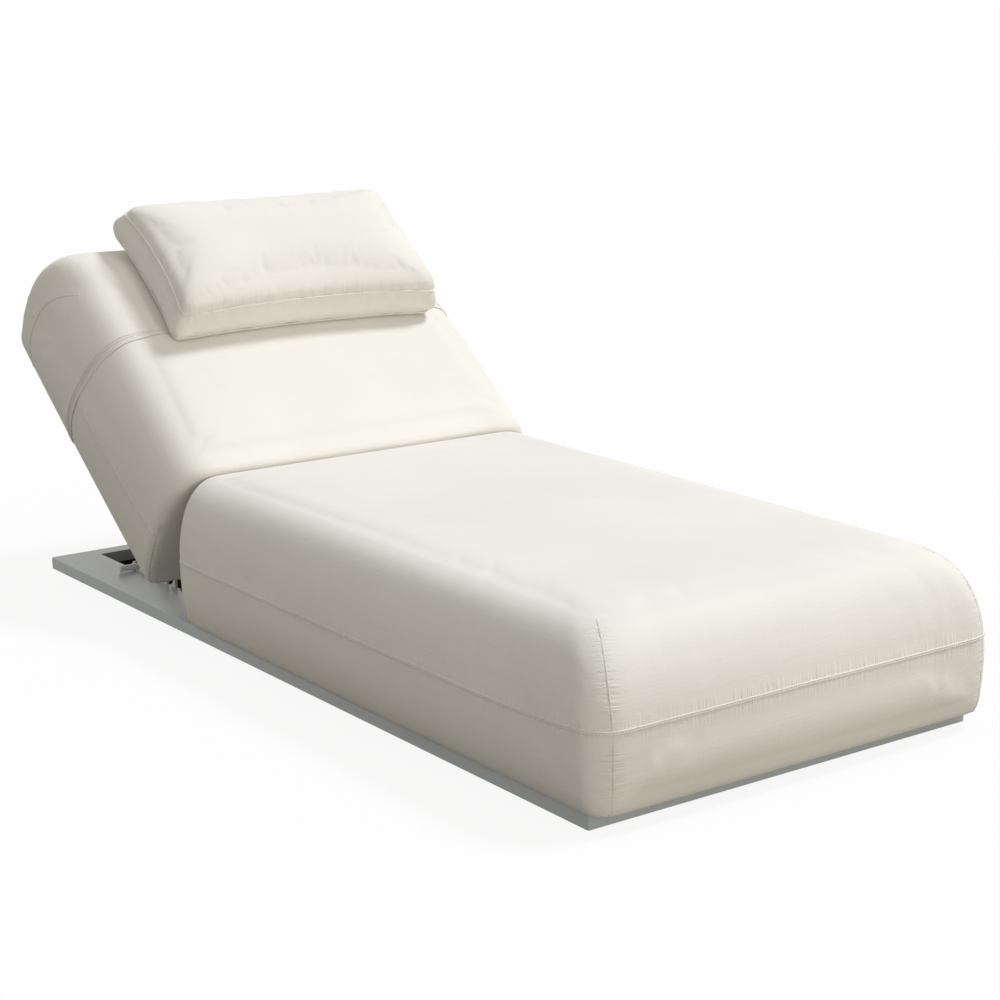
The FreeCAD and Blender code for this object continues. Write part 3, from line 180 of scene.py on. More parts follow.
def noise(tree, source, scale, detail=2.0, stretch=(1, 1, 1), turn=(0, 0, 0)):
    """Noise on the object's own coordinates, stretched or turned."""
    mapping = node(tree, "ShaderNodeMapping", Scale=stretch, Rotation=turn)
    made = node(tree, "ShaderNodeTexNoise", Scale=scale, Detail=detail)
    link(tree, source, (mapping, 0))
    link(tree, (mapping, 0), (made, 0))
    return made


def ramp(tree, source, low, high, start=0.3, end=0.7):
    """A colour ramp between two colours."""
    made = node(tree, "ShaderNodeValToRGB")
    made.color_ramp.elements[0].position = start
    made.color_ramp.elements[1].position = end
    made.color_ramp.elements[0].color = (*low, 1)
    made.color_ramp.elements[1].color = (*high, 1)
    link(tree, source, (made, 0))
    return made


def spread(tree, source, low, high):
    """Maps 0 to 1 onto a range."""
    made = node(tree, "ShaderNodeMapRange")
    made.inputs["To Min"].default_value = low
    made.inputs["To Max"].default_value = high
    link(tree, source, (made, 0))
    return made


def bumped(tree, main, height, strength, distance):
    """Adds a bump to the main shader, on top of any that is there."""
    made = node(tree, "ShaderNodeBump", Strength=strength, Distance=distance)
    link(tree, height, (made, "Height"))
    before = main.inputs["Normal"].links
    if before:
        tree.links.new(before[0].from_socket, made.inputs["Normal"])
    link(tree, (made, 0), (main, "Normal"))


def powder_coat(name, low, high, edge_highlight):
    """Satin powder coat with fine orange peel, and a painted highlight on its edges: the last argument is how
    far they are painted lighter.
    """
    material, tree, main = shader(name)
    place = node(tree, "ShaderNodeTexCoord")
    cloud = noise(tree, (place, "Object"), scale=3.5, detail=4)
    grain = noise(tree, (place, "Object"), scale=900, detail=2)
    colour = ramp(tree, (cloud, 0), low, high)
    edge = node(tree, "ShaderNodeNewGeometry")
    # Painted highlight: sharp edges are painted lighter, towards the pale colour set below.
    edge_highlight_mask = spread(tree, (edge, "Pointiness"), 0, 1)
    edge_highlight_mask.inputs["From Min"].default_value = 0.56
    edge_highlight_mask.inputs["From Max"].default_value = 0.66
    edge_highlight_share = maths(tree, "MULTIPLY", (edge_highlight_mask, 0), value=edge_highlight)
    mix = node(tree, "ShaderNodeMix", data_type="RGBA")
    mix.inputs["B"].default_value = (0.72, 0.74, 0.74, 1)
    link(tree, (edge_highlight_share, 0), (mix, "Factor"))
    link(tree, (colour, 0), (mix, "A"))
    link(tree, (mix, "Result"), (main, "Base Color"))
    link(tree, (spread(tree, (cloud, 0), 0.27, 0.37), 0), (main, "Roughness"))
    main.inputs["Specular IOR Level"].default_value = 0.55
    bumped(tree, main, (grain, 0), strength=0.18, distance=0.0002)
    return material


def dress(material, *names):
    """Gives CAD pieces their finish."""
    for name in names:
        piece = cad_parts[name]
        piece.data.materials.clear()
        piece.data.materials.append(material)


deck_coat = powder_coat("deck_coat", (0.44, 0.485, 0.485), (0.50, 0.545, 0.55), 0.3)
dress(deck_coat, "deck_tray")
PALE_COAT = (0.66, 0.70, 0.70), (0.74, 0.77, 0.77)
rack_coat = powder_coat("rack_coat", *PALE_COAT, 0.9)
dress(rack_coat, "rack_left", "rack_right")
stay_coat = powder_coat("stay_coat", *PALE_COAT, 0.6)
dress(stay_coat, "stay_arm_left", "stay_arm_right", "stay_foot_bar", "stay_brace")

# Rails and glides under the deck: mill-finish aluminium tube with drawing lines along it,
# and turned pads of black rubber with a dusty bloom.


def metal(name, low, high, stretch, roughness):
    """Bare or plated metal with drawing or rolling lines."""
    material, tree, main = shader(name)
    place = node(tree, "ShaderNodeTexCoord")
    lines = noise(tree, (place, "Object"), scale=60, detail=3, stretch=stretch)
    cloud = noise(tree, (place, "Object"), scale=9, detail=3)
    link(tree, (ramp(tree, (cloud, 0), low, high), 0), (main, "Base Color"))
    link(tree, (spread(tree, (lines, 0), roughness - 0.08, roughness + 0.1), 0), (main, "Roughness"))
    main.inputs["Metallic"].default_value = 1.0
    bumped(tree, main, (lines, 0), strength=0.15, distance=0.0002)
    return material


def rubber(name):
    """Black rubber, dusty in patches."""
    material, tree, main = shader(name)
    place = node(tree, "ShaderNodeTexCoord")
    dust = noise(tree, (place, "Object"), scale=40, detail=4)
    grain = noise(tree, (place, "Object"), scale=1200, detail=2)
    link(tree, (ramp(tree, (dust, 0), (0.018, 0.018, 0.018), (0.045, 0.044, 0.042)), 0), (main, "Base Color"))
    link(tree, (spread(tree, (dust, 0), 0.62, 0.85), 0), (main, "Roughness"))
    bumped(tree, main, (grain, 0), strength=0.3, distance=0.0003)
    return material


ALUMINIUM = (0.62, 0.63, 0.64), (0.74, 0.75, 0.76)
mill_aluminium = metal("mill_aluminium", *ALUMINIUM, (1, 0.02, 1), 0.38)
dress(mill_aluminium, "deck_rail_left", "deck_rail_right")
cross_aluminium = metal("cross_aluminium", *ALUMINIUM, (0.02, 1, 1), 0.38)
dress(cross_aluminium, "deck_cross_rails")
dress(rubber("glide_rubber"), "floor_glides", "centre_glide", "back_rest_pads")

# Boards, hinges and fixings inside the blocks: sanded birch plywood with its grain along the board,
# and zinc-plated steel leaves, pins, brackets, screws, bolts and rivets.


def plywood(name, turn):
    """Birch plywood: long pale grain with a few darker streaks."""
    material, tree, main = shader(name)
    place = node(tree, "ShaderNodeTexCoord")
    grain = noise(tree, (place, "Object"), scale=22, detail=6, stretch=(0.12, 1, 1.6), turn=turn)
    fine = noise(tree, (place, "Object"), scale=160, detail=3, stretch=(0.06, 1, 1), turn=turn)
    link(tree, (ramp(tree, (grain, 0), (0.50, 0.36, 0.21), (0.70, 0.55, 0.36)), 0), (main, "Base Color"))
    link(tree, (spread(tree, (fine, 0), 0.5, 0.72), 0), (main, "Roughness"))
    bumped(tree, main, (fine, 0), strength=0.3, distance=0.0004)
    return material


REST_TILT = math.radians(37.3)
PIVOT = Vector((0, 0.343, 0.326))
dress(plywood("seat_plywood", (0, 0, 0)), "seat_base_board", "seat_rear_panel")
dress(
    plywood("back_plywood", (-REST_TILT, 0, 0)), "back_end_panel", "back_side_board_left",
    "back_side_board_right", "back_head_board", "back_ceiling_panel",
)
plated_steel = metal("plated_steel", (0.50, 0.51, 0.51), (0.64, 0.65, 0.64), (1, 1, 1), 0.32)
hinge_parts = [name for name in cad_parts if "hinge" in name or "bracket" in name or "pin" in name]
dress(plated_steel, *hinge_parts, "deck_bolts", "rack_rivets")

# Seat block: one piece of foam on its board, in a tight woven cover of cream outdoor yarn.
# Two panels meet at a raised, twice-stitched seam at half height round the sides and the foot end, and plain
# seams run up the foot corners.
DECK_TOP = 0.028
JOINT_LEAN = math.tan(math.radians(5.5))
HALF_WIDTH = 0.45
EDGE_POWER = 0.83
CORNER_GROWTH = 0.10
SIDE_LEVELS = 9
EDGE_LEVELS = 14
TOP_SHARES = (0.86, 0.7, 0.5, 0.3, 0.1)
CORNER_STEPS = 8
SIDE_STEPS = 14
QUARTER = CORNER_STEPS + SIDE_STEPS
AROUND = 4 * QUARTER
LEFT_FOOT = 2 * QUARTER
RIGHT_FOOT = 3 * QUARTER


def drawn_form(around, levels, place):
    """A closed tube with rings of points, each put where place(level, index) says, so a block, band or thread
    is drawn up ring by ring."""
    shape = bmesh.new()
    bmesh.ops.create_cone(shape, cap_ends=True, segments=around, radius1=1, radius2=1, depth=1)
    upright = [edge for edge in shape.edges if abs(edge.verts[0].co.z - edge.verts[1].co.z) > 0.5]
    bmesh.ops.subdivide_edges(shape, edges=upright, cuts=levels - 2)
    for vertex in shape.verts:
        ring = round((vertex.co.z + 0.5) * (levels - 1))
        index = round(math.atan2(vertex.co.y, vertex.co.x) / math.tau * around) % around
        vertex.co = place(ring, index)
    bmesh.ops.recalc_face_normals(shape, faces=shape.faces)
    return shape


def to_object(shape, name):
    """The finished bmesh as an object at the origin."""
    mesh = bpy.data.meshes.new(name)
    shape.to_mesh(mesh)
    shape.free()
    made = bpy.data.objects.new(name, mesh)
    scene.collection.objects.link(made)
    return made


def ring_point(index, half, foot, head, foot_radius, head_radius, height, middle, draw_in):
    """One of the points round a rounded rectangle, from the right side through the head to the left and the
    foot. Middle is its place across, and draw_in is how far its sides bend inwards midway."""
    quarter, step = divmod(index, QUARTER)
    corners = (
        (half, head, head_radius, -1, -1),
        (-half, head, head_radius, 1, -1),
        (-half, foot, foot_radius, 1, 1),
        (half, foot, foot_radius, -1, 1),
    )

    def on_corner(number, turn):
        across, along, radius, inward_x, inward_y = corners[number % 4]
        angle = math.radians(90 * (number % 4) + turn)
        centre = Vector((across + inward_x * radius, along + inward_y * radius))
        return centre + Vector((math.cos(angle), math.sin(angle))) * radius

    if step <= CORNER_STEPS:
        spot = on_corner(quarter, 90 * step / CORNER_STEPS)
    else:
        share = (step - CORNER_STEPS) / SIDE_STEPS
        start, end = on_corner(quarter, 90), on_corner(quarter + 1, 0)
        spot = start.lerp(end, share)
        line = end - start
        inward = Vector((-line.y, line.x)).normalized()
        spot += inward * draw_in * (1 - (2 * share - 1) ** 2)
    return Vector((spot.x + middle, spot.y, height))


def block_levels(bottom, widest, top, crown):
    """Levels of a block: height, swell towards its widest level, how far over the upper edge, and the share
    left of the top."""
    found = []
    for step in range(SIDE_LEVELS):
        turn = step / (SIDE_LEVELS - 1) * math.pi / 2
        found.append((widest - (widest - bottom) * math.cos(turn), math.sin(turn), 0.0, 1.0))
    for step in range(1, EDGE_LEVELS + 1):
        turn = step / EDGE_LEVELS * math.pi / 2
        up = math.sin(turn) ** EDGE_POWER
        over = 1 - max(math.cos(turn), 0.0) ** EDGE_POWER
        found.append((widest + (top - widest) * up, 1.0, over, 1.0))
    for left in TOP_SHARES:
        found.append((top + crown * (1 - left * left), 1.0, 1.0, left))
    return found


def block_form(bottom, widest, top, crown, bulges, rounds, corners, ends, middles):
    """The outer form of an upholstered block as place(level, index), and its number of levels. Bulges and
    rounds are for the sides, the foot end and the head end, corners are radii at the foot and head as (at the
    bottom, at the widest), ends give foot and head by height, and middles are how much more the sides and the
    ends swell midway."""
    levels = block_levels(bottom, widest, top, crown)

    def edge_drop(over, height, end_round):
        """How far over the upper edge an end is: with the sides, or on a smaller quarter round of its own."""
        if end_round >= rounds[0]:
            return over
        rise = min(max((height - (top - end_round)) / end_round, 0), 1)
        return 1 - math.sqrt(1 - rise * rise)

    def place(level, index):
        height, swell, over, left = levels[level]
        full = swell ** 0.6
        half = HALF_WIDTH + bulges[0] * swell - rounds[0] * over
        foot = ends[0](height) - bulges[1] * swell ** 0.3 + rounds[1] * edge_drop(over, height, rounds[1])
        head = ends[1](height) + bulges[2] * full - rounds[2] * edge_drop(over, height, rounds[2])
        growth = CORNER_GROWTH * rounds[0] * over
        middle, reach = (foot + head) / 2, (head - foot) / 2 * left
        radii = [(low + (wide - low) * full + growth) * left for low, wide in corners]
        out = middles[(index // QUARTER + 1) % 2] * full * (1 - over) * left
        return ring_point(index, half * left, middle - reach, middle + reach, *radii, height, 0.0, -out)

    return place, len(levels)


def joint_face(height, offset):
    """Where the leaning face between the blocks lies at a height, moved along by an offset."""
    return PIVOT.y - (PIVOT.z - height) * JOINT_LEAN + offset


def applied(piece):
    """Replaces an object's mesh by the one that its modifiers give."""
    graph = bpy.context.evaluated_depsgraph_get()
    mesh = bpy.data.meshes.new_from_object(piece.evaluated_get(graph))
    piece.modifiers.clear()
    piece.data = mesh


def smoothed(piece, steps):
    """Evens out a piece's mesh, after the modifiers that it has."""
    smooth = piece.modifiers.new("smooth", "SMOOTH")
    smooth.factor = 0.5
    smooth.iterations = steps
    applied(piece)


def remeshed(piece, voxel, smooth_steps):
    """An even mesh of small squares over the piece, with the steps of the remesh smoothed out."""
    remesh = piece.modifiers.new("even", "REMESH")
    remesh.mode = "VOXEL"
    remesh.voxel_size = voxel
    smoothed(piece, smooth_steps)


def put_points(piece, points):
    """Moves a piece's points to the given places."""
    piece.data.vertices.foreach_set("co", [value for point in points for value in point])
    piece.data.update()


PUFF_FRAMES = 20
INWARD_UNDONE = 0.85


def puffed(piece, held, pressure, cap, slack=0.0):
    """Lets the cover swell over its filling. held(point) is how firmly it is held, 0 to 1, cap is how far it
    may move and slack is the share of spare cloth. Most of any move inwards is undone."""
    group = piece.vertex_groups.new(name="held")
    for vertex in piece.data.vertices:
        group.add([vertex.index], held(vertex.co), "REPLACE")
    start = [vertex.co.copy() for vertex in piece.data.vertices]
    outward = [vertex.normal.copy() for vertex in piece.data.vertices]
    cloth = piece.modifiers.new("cover", "CLOTH")
    settings = cloth.settings
    settings.quality = 5
    settings.mass = 0.3
    settings.tension_stiffness = 18
    settings.compression_stiffness = 12
    settings.shear_stiffness = 8
    settings.bending_stiffness = 0.4
    settings.air_damping = 3
    settings.use_pressure = True
    settings.uniform_pressure_force = pressure
    settings.shrink_min = -slack
    settings.vertex_group_mass = "held"
    settings.effector_weights.gravity = 0
    cloth.collision_settings.use_collision = False
    cloth.collision_settings.use_self_collision = False
    scene.frame_start, scene.frame_end = 1, PUFF_FRAMES
    for number in range(1, PUFF_FRAMES + 1):
        scene.frame_set(number)
    applied(piece)
    piece.vertex_groups.clear()
    points = []
    for vertex, before, normal in zip(piece.data.vertices, start, outward):
        move = vertex.co - before
        move -= normal * min(move.dot(normal), 0.0) * INWARD_UNDONE
        if move.length > 0:
            move *= cap * math.tanh(move.length / cap) / move.length
        points.append(before + move)
    put_points(piece, points)
    scene.frame_set(1)


def surface_of(piece):
    """A search tree of the piece's surface."""
    corners = [vertex.co for vertex in piece.data.vertices]
    return BVHTree.FromPolygons(corners, [face.vertices for face in piece.data.polygons])


def put_back(piece, drawn, held):
    """Puts the points on the drawn form again, as far as the cover is held there."""
    points = [vertex.co.copy() for vertex in piece.data.vertices]
    for index, point in enumerate(points):
        share = held(point)
        if share > 0:
            points[index] = point.lerp(drawn.find_nearest(point)[0], share)
    put_points(piece, points)


def rounded_up(piece, drawn, held):
    """One subdivision, applied, with smooth faces, and put back on the drawn form where the cover is held."""
    finer = piece.modifiers.new("finer", "SUBSURF")
    finer.levels = finer.render_levels = 1
    applied(piece)
    put_back(piece, drawn, held)
    smoothed(piece, 2)
    put_back(piece, drawn, held)
    piece.data.shade_smooth()


THREAD_STEP = 0.0011
SLUB_WEIGHTS = (("X", 0.35), ("Y", 0.55), ("Z", 1.0))
SLUB_TINT = 0.55


def woven(name, low, high, turn=0.0, slub=1.0):
    """Plain weave of slubby cream yarn. Threads run along the piece's own axes: each axis' stripes fade where
    the surface faces along it. Turn is the piece's tilt about X, and slub how far thick yarn stands out."""
    material, tree, main = shader(name)
    place = node(tree, "ShaderNodeTexCoord")
    turned = node(tree, "ShaderNodeMapping", vector_type="POINT", Rotation=(-turn, 0, 0))
    facing = node(tree, "ShaderNodeMapping", vector_type="POINT", Rotation=(-turn, 0, 0))
    link(tree, (place, "Object"), (turned, 0))
    link(tree, (place, "Normal"), (facing, 0))
    faced = node(tree, "ShaderNodeSeparateXYZ")
    spot = node(tree, "ShaderNodeSeparateXYZ")
    link(tree, (facing, 0), (faced, 0))
    link(tree, (turned, 0), (spot, 0))
    threads, slubs = None, None
    for number, (axis, weight) in enumerate(SLUB_WEIGHTS):
        square = maths(tree, "MULTIPLY", (faced, axis), (faced, axis))
        below_one = maths(tree, "SUBTRACT", (square, 0), value=1.0)
        share = maths(tree, "MULTIPLY", (below_one, 0), value=-1.0)
        phase = maths(tree, "MULTIPLY", (spot, axis), value=math.tau / THREAD_STEP)
        wave = maths(tree, "SINE", (phase, 0))
        stretch = [6.0, 6.0, 6.0]
        stretch[number] = 520.0
        streak = noise(tree, (turned, 0), scale=1.0, detail=3, stretch=stretch)
        centred = maths(tree, "SUBTRACT", (streak, 0), value=0.5)
        faded = maths(tree, "MULTIPLY", (centred, 0), (share, 0))
        slubby = maths(tree, "MULTIPLY", (faded, 0), value=weight)
        thread = maths(tree, "MULTIPLY", (wave, 0), (share, 0))
        threads = thread if threads is None else maths(tree, "ADD", (threads, 0), (thread, 0))
        slubs = slubby if slubs is None else maths(tree, "ADD", (slubs, 0), (slubby, 0))
    cloud = noise(tree, (turned, 0), scale=2.2, detail=4)
    slub_tint = maths(tree, "MULTIPLY", (slubs, 0), value=SLUB_TINT)
    tint = maths(tree, "ADD", (slub_tint, 0), (cloud, 0))
    link(tree, (ramp(tree, (tint, 0), low, high, start=0.22, end=0.78), 0), (main, "Base Color"))
    link(tree, (spread(tree, (cloud, 0), 0.96, 0.84), 0), (main, "Roughness"))
    main.inputs["Specular IOR Level"].default_value = 0.12
    main.inputs["Sheen Weight"].default_value = 0.12
    main.inputs["Sheen Roughness"].default_value = 0.5
    near = node(tree, "ShaderNodeAttribute", attribute_name="gather_near")
    along = node(tree, "ShaderNodeAttribute", attribute_name="gather_along")
    pucker = node(tree, "ShaderNodeTexNoise", noise_dimensions="1D", Scale=150.0, Detail=2.0)
    link(tree, (along, "Fac"), (pucker, "W"))
    puckers = maths(tree, "MULTIPLY", (pucker, 0), (near, "Fac"))
    bumped(tree, main, (puckers, 0), strength=0.6, distance=0.004)
    bumped(tree, main, (slubs, 0), strength=0.28 * slub, distance=0.0009)
    bumped(tree, main, (threads, 0), strength=0.18, distance=0.0003)
    return material


SEAM_STEP = 0.006
CORNER_SEAM_STEP = 0.004


def even_path(points, step=SEAM_STEP):
    """The same line with points at even steps along it."""
    found = [points[0].copy()]
    spare = 0.0
    for start, end in zip(points, points[1:]):
        length = (end - start).length
        along = step - spare
        while along <= length:
            found.append(start.lerp(end, along / length))
            along += step
        spare = length - (along - step)
    return found


def laid_on(points, skin):
    """The points moved on to a surface, each with the surface's outward direction and the line's own."""
    spots = []
    for point in points:
        spot, normal, _, _ = skin.find_nearest(point)
        spots.append([spot, normal])
    for number, entry in enumerate(spots):
        before = spots[max(number - 1, 0)][0]
        after = spots[min(number + 1, len(spots) - 1)][0]
        entry.append((after - before).normalized())
    return spots


def seam_band(spots, half, rise, profile):
    """A raised band that follows the line on the surface, with the given profile across it."""

    def place(ring, index):
        spot, normal, along = spots[ring]
        across = normal.cross(along).normalized()
        side, up = profile[index]
        return spot + across * side * half + normal * up * rise

    return drawn_form(len(profile), len(spots), place)


STITCH_LENGTH = 0.0040
STITCH_THICK = 0.0011
STITCH_STEP = 0.0056
STITCH_SIDES = 5
STITCH_RINGS = (
    (-0.5, -1.6, 0.4), (-0.42, -0.1, 0.8), (-0.2, 0.3, 1.0),
    (0.2, 0.3, 1.0), (0.42, -0.1, 0.8), (0.5, -1.6, 0.4),
)


def stitch_row(spots, side, lift):
    """A row of stitches beside a line on the surface: one thread that comes up, lies on the cloth and dips
    again. Its rings are given as the share of a stitch's length, the height and the width."""
    walked = [0.0]
    for (spot, _, _), (following, _, _) in zip(spots, spots[1:]):
        walked.append(walked[-1] + (following - spot).length)
    rings = []
    low = 0
    for number in range(int((walked[-1] - STITCH_LENGTH) / STITCH_STEP)):
        for share, up, wide in STITCH_RINGS:
            due = (number + 0.5) * STITCH_STEP + share * STITCH_LENGTH
            while walked[low + 1] < due:
                low += 1
            part = (due - walked[low]) / (walked[low + 1] - walked[low])
            spot, normal, along = spots[low]
            across = normal.cross(along).normalized()
            centre = spot.lerp(spots[low + 1][0], part) + across * side
            centre += normal * (lift + up * STITCH_THICK / 2)
            rings.append((centre, across, normal, wide * STITCH_THICK / 2))

    def place(ring, index):
        centre, across, normal, radius = rings[ring]
        turn = index * math.tau / STITCH_SIDES
        return centre + across * math.cos(turn) * radius + normal * math.sin(turn) * radius

    return drawn_form(STITCH_SIDES, len(rings), place)


COVER = (0.79, 0.77, 0.722), (0.872, 0.852, 0.80)
SEAM_CLOTH = (0.78, 0.755, 0.70), (0.85, 0.83, 0.78)
THREAD = (0.80, 0.78, 0.73), (0.88, 0.86, 0.82)
JOINT_GAP = 0.0022
SEAT_FOOT = -1.0
SEAT_SEAM = 0.170
seat_place, seat_levels = block_form(
    bottom=DECK_TOP, widest=0.135, top=0.339, crown=0.005,
    bulges=(0.028, 0.052, 0.0), rounds=(0.112, 0.128, 0.013), corners=((0.014, 0.062), (0.006, 0.010)),
    ends=(lambda height: SEAT_FOOT, lambda height: joint_face(height, -JOINT_GAP)), middles=(0.004, 0.006),
)
seat = to_object(drawn_form(AROUND, seat_levels, seat_place), "seat_block")
seat_drawn = surface_of(seat)
remeshed(seat, voxel=0.0115, smooth_steps=5)


def eased(distance, full, none):
    """1 up to one distance, 0 past another, and a smooth fall between them."""
    share = min(max((none - distance) / (none - full), 0.0), 1.0)
    return share * share * (3 - 2 * share)


def seat_held(point):
    """Held down at the deck and at the joint face."""
    return max(eased(point.z - DECK_TOP, 0.015, 0.05), eased(joint_face(point.z, 0) - point.y, 0.02, 0.07))


puffed(seat, seat_held, pressure=3.0, cap=0.008)
rounded_up(seat, seat_drawn, seat_held)
seat_skin = surface_of(seat)
seat_round = [index % AROUND for index in range(QUARTER + 4, AROUND + 5)]


def line_at(place, count, order, height):
    """Points where a form's rings stand at a height, which may depend on the place."""
    points = []
    for index in order:
        rings = [place(level, index) for level in range(count)]
        for low, high in zip(rings, rings[1:]):
            wanted = height(low)
            if low.z <= wanted < high.z:
                points.append(low.lerp(high, (wanted - low.z) / (high.z - low.z)))
                break
    return points


def seat_seam_height(point):
    """The side seam is sewn a little higher across the foot end than along the sides."""
    return SEAT_SEAM + (0.013 - 0.008 * abs(point.x)) * eased(point.y - SEAT_FOOT, 0.0, 0.16)


seat_points = line_at(seat_place, seat_levels, seat_round, seat_seam_height)
seat_line = laid_on(even_path(seat_points), seat_skin)


def rising_line(place, low, high, first, last, skin):
    """A seam that climbs a corner of the form from one level to another, laid on its surface. Low and high
    are places round the ring: above the widest level the seam leans from the one to the other."""
    points = []
    for level in range(first, last + 1):
        index = low + (high - low) * max(0, level - SIDE_LEVELS) / max(last - SIDE_LEVELS, 1)
        before = math.floor(index)
        points.append(place(level, before).lerp(place(level, before + 1), index - before))
    return laid_on(even_path(points, CORNER_SEAM_STEP), skin)


LINE_APART = 10.0
SEAM_MEETING = 0.03


def mark_gathers(piece, lines, reach, depth, step):
    """Stores on each point how near a seam it is and how far along it, for the fine puckers, and moves the
    cloth in and out in shallow gathers that fade away from the seam and where two seams meet."""
    trees, places = [], []
    for line in lines:
        tree = KDTree(len(line))
        walked = [LINE_APART * len(trees)]
        for number, (spot, _, _) in enumerate(line):
            tree.insert(spot, number)
            walked.append(walked[-1] + (spot - line[number - 1][0]).length * min(number, 1))
        tree.balance()
        trees.append(tree)
        places.append(walked[1:])
    points = [vertex.co.copy() for vertex in piece.data.vertices]
    normals = [vertex.normal.copy() for vertex in piece.data.vertices]
    shares, walks = [], []
    for index, point in enumerate(points):
        found = sorted((tree.find(point)[2], number) for number, tree in enumerate(trees))
        distance, number = found[0]
        other = found[1][0] if len(found) > 1 else 1.0
        share = eased(distance, 0.0, reach) * (1 - eased(other - distance, 0.0, SEAM_MEETING))
        walk = places[number][trees[number].find(point)[1]]
        shares.append(share)
        walks.append(walk)
        if share > 0:
            waves = Vector((walk / step, distance / (3 * step), 0.5))
            wave = hetero_terrain(waves, 1.0, 2.0, 2, 0.0) - 0.5
            points[index] = point + normals[index] * wave * depth * share
    for name, values in (("gather_near", shares), ("gather_along", walks)):
        piece.data.attributes.new(name, "FLOAT", "POINT")
        piece.data.attributes[name].data.foreach_set("value", values)
    put_points(piece, points)


SEAM_PROFILE = (
    (-1.0, -0.7), (-0.88, 0.6), (-0.6, 1.0), (-0.18, 0.45),
    (0.18, 0.45), (0.6, 1.0), (0.88, 0.6), (1.0, -0.7),
)
LIP_PROFILE = ((-1.0, -0.8), (-0.7, 0.4), (-0.3, 0.8), (0.0, -1.2), (0.3, 0.8), (0.7, 0.4), (1.0, -0.8))


def trim(name, shapes, material, body, turn=None):
    """Bands or threads joined to one piece with the given material, turned up with the block if turn is
    given.
    """
    whole = bmesh.new()
    for shape in shapes:
        part = bpy.data.meshes.new("part")
        shape.to_mesh(part)
        shape.free()
        whole.from_mesh(part)
        bpy.data.meshes.remove(part)
    made = to_object(whole, name)
    if turn is not None:
        made.data.transform(turn)
    made.data.shade_smooth()
    made.data.materials.append(material)
    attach(made, body)
    return made


def sewn(name, lines, half, rise, profile, material, body, turn=None):
    """The bands along some seams as one piece."""
    return trim(name, [seam_band(line, half, rise, profile) for line in lines], material, body, turn)


def stitched(name, lines, side, lift, body, turn=None):
    """The stitches on both sides of some seams as one piece."""
    rows = [stitch_row(line, away, lift) for line in lines for away in (-side, side)]
    return trim(name, rows, thread, body, turn)


cover = woven("seat_cover", *COVER)
seam_cloth = woven("seam_cloth", *SEAM_CLOTH, slub=0.5)
thread = woven("sewing_thread", *THREAD, slub=0.3)
seat_corners = [
    rising_line(seat_place, LEFT_FOOT + 6.2, LEFT_FOOT + 3.4, 1, 20, seat_skin),
    rising_line(seat_place, RIGHT_FOOT + 1.8, RIGHT_FOOT + 4.6, 1, 20, seat_skin),
]
mark_gathers(seat, [seat_line, *seat_corners], reach=0.030, depth=0.0009, step=0.012)
sewn("seat_side_seam", [seat_line], 0.0034, 0.0009, SEAM_PROFILE, seam_cloth, "base")
sewn("seat_corner_seams", seat_corners, 0.0015, 0.0007, LIP_PROFILE, cover, "base")
stitched("seat_seam_stitches", [seat_line], 0.0019, 0.0012, "base")
seat.data.materials.append(cover)
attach(seat, "base")
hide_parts("seat_cushion")

# Backrest block: the same build on a plywood carcass, open underneath where the stay folds in.
# It is made lying flat and turned up about the hinge, with a side seam and sewn lower corners.
BACK_LOW = 0.0282
BACK_LENGTH = 0.737
BACK_HEAD = joint_face(0.030, 0.0) + BACK_LENGTH
BACK_SEAM = 0.172
UNDERSIDE = BACK_LOW + 0.004
HEM = 0.737
RAISED = Matrix.Translation(PIVOT) @ Matrix.Rotation(REST_TILT, 4, "X") @ Matrix.Translation(-PIVOT)
back_place, back_levels = block_form(
    bottom=BACK_LOW, widest=0.175, top=0.353, crown=0.007,
    bulges=(0.027, 0.0, 0.027), rounds=(0.105, 0.014, 0.112), corners=((0.008, 0.026), (0.022, 0.032)),
    ends=(lambda height: joint_face(height, JOINT_GAP), lambda height: BACK_HEAD), middles=(0.004, 0.004),
)
backrest = to_object(drawn_form(AROUND, back_levels, back_place), "backrest_block")
back_drawn = surface_of(backrest)
remeshed(backrest, voxel=0.011, smooth_steps=6)


def back_held(point):
    """Held at the underside and at the joint face."""
    return max(eased(point.z - BACK_LOW, 0.015, 0.05), eased(point.y - joint_face(point.z, 0), 0.02, 0.07))


puffed(backrest, back_held, pressure=3.0, cap=0.008)
rounded_up(backrest, back_drawn, back_held)
SAME_SPOT = 0.00001
SUNK = 0.003
SUNK_OVER = 0.004
WELL_LOW = (-0.4045, joint_face(BACK_LOW, 0.0) + 0.0188)
WELL_HIGH = (0.4045, BACK_HEAD - 0.0255)
TURNED_IN = (0, 0, 0.02)


def opened(shape):
    """Cuts the well's rectangular mouth in the underside and turns the cloth's edge up inside it."""
    for axis, normal in enumerate(((1, 0, 0), (0, 1, 0))):
        for edge in (WELL_LOW[axis], WELL_HIGH[axis]):
            near = [face for face in shape.faces if face.calc_center_median().z < UNDERSIDE]
            parts = list(dict.fromkeys(item for face in near for item in (face, *face.edges, *face.verts)))
            on_plane = Vector(normal) * edge
            bmesh.ops.bisect_plane(shape, geom=parts, plane_co=on_plane, plane_no=normal, dist=SAME_SPOT)
    mouth = []
    for face in shape.faces:
        x, y, z = face.calc_center_median()
        if z < UNDERSIDE and WELL_LOW[0] < x < WELL_HIGH[0] and WELL_LOW[1] < y < WELL_HIGH[1]:
            mouth.append(face)
    bmesh.ops.delete(shape, geom=mouth, context="FACES")
    rim = [edge for edge in shape.edges if edge.is_boundary]
    turned = bmesh.ops.extrude_edge_only(shape, edges=rim)["geom"]
    edge_points = [item for item in turned if isinstance(item, bmesh.types.BMVert)]
    bmesh.ops.translate(shape, verts=edge_points, vec=TURNED_IN)


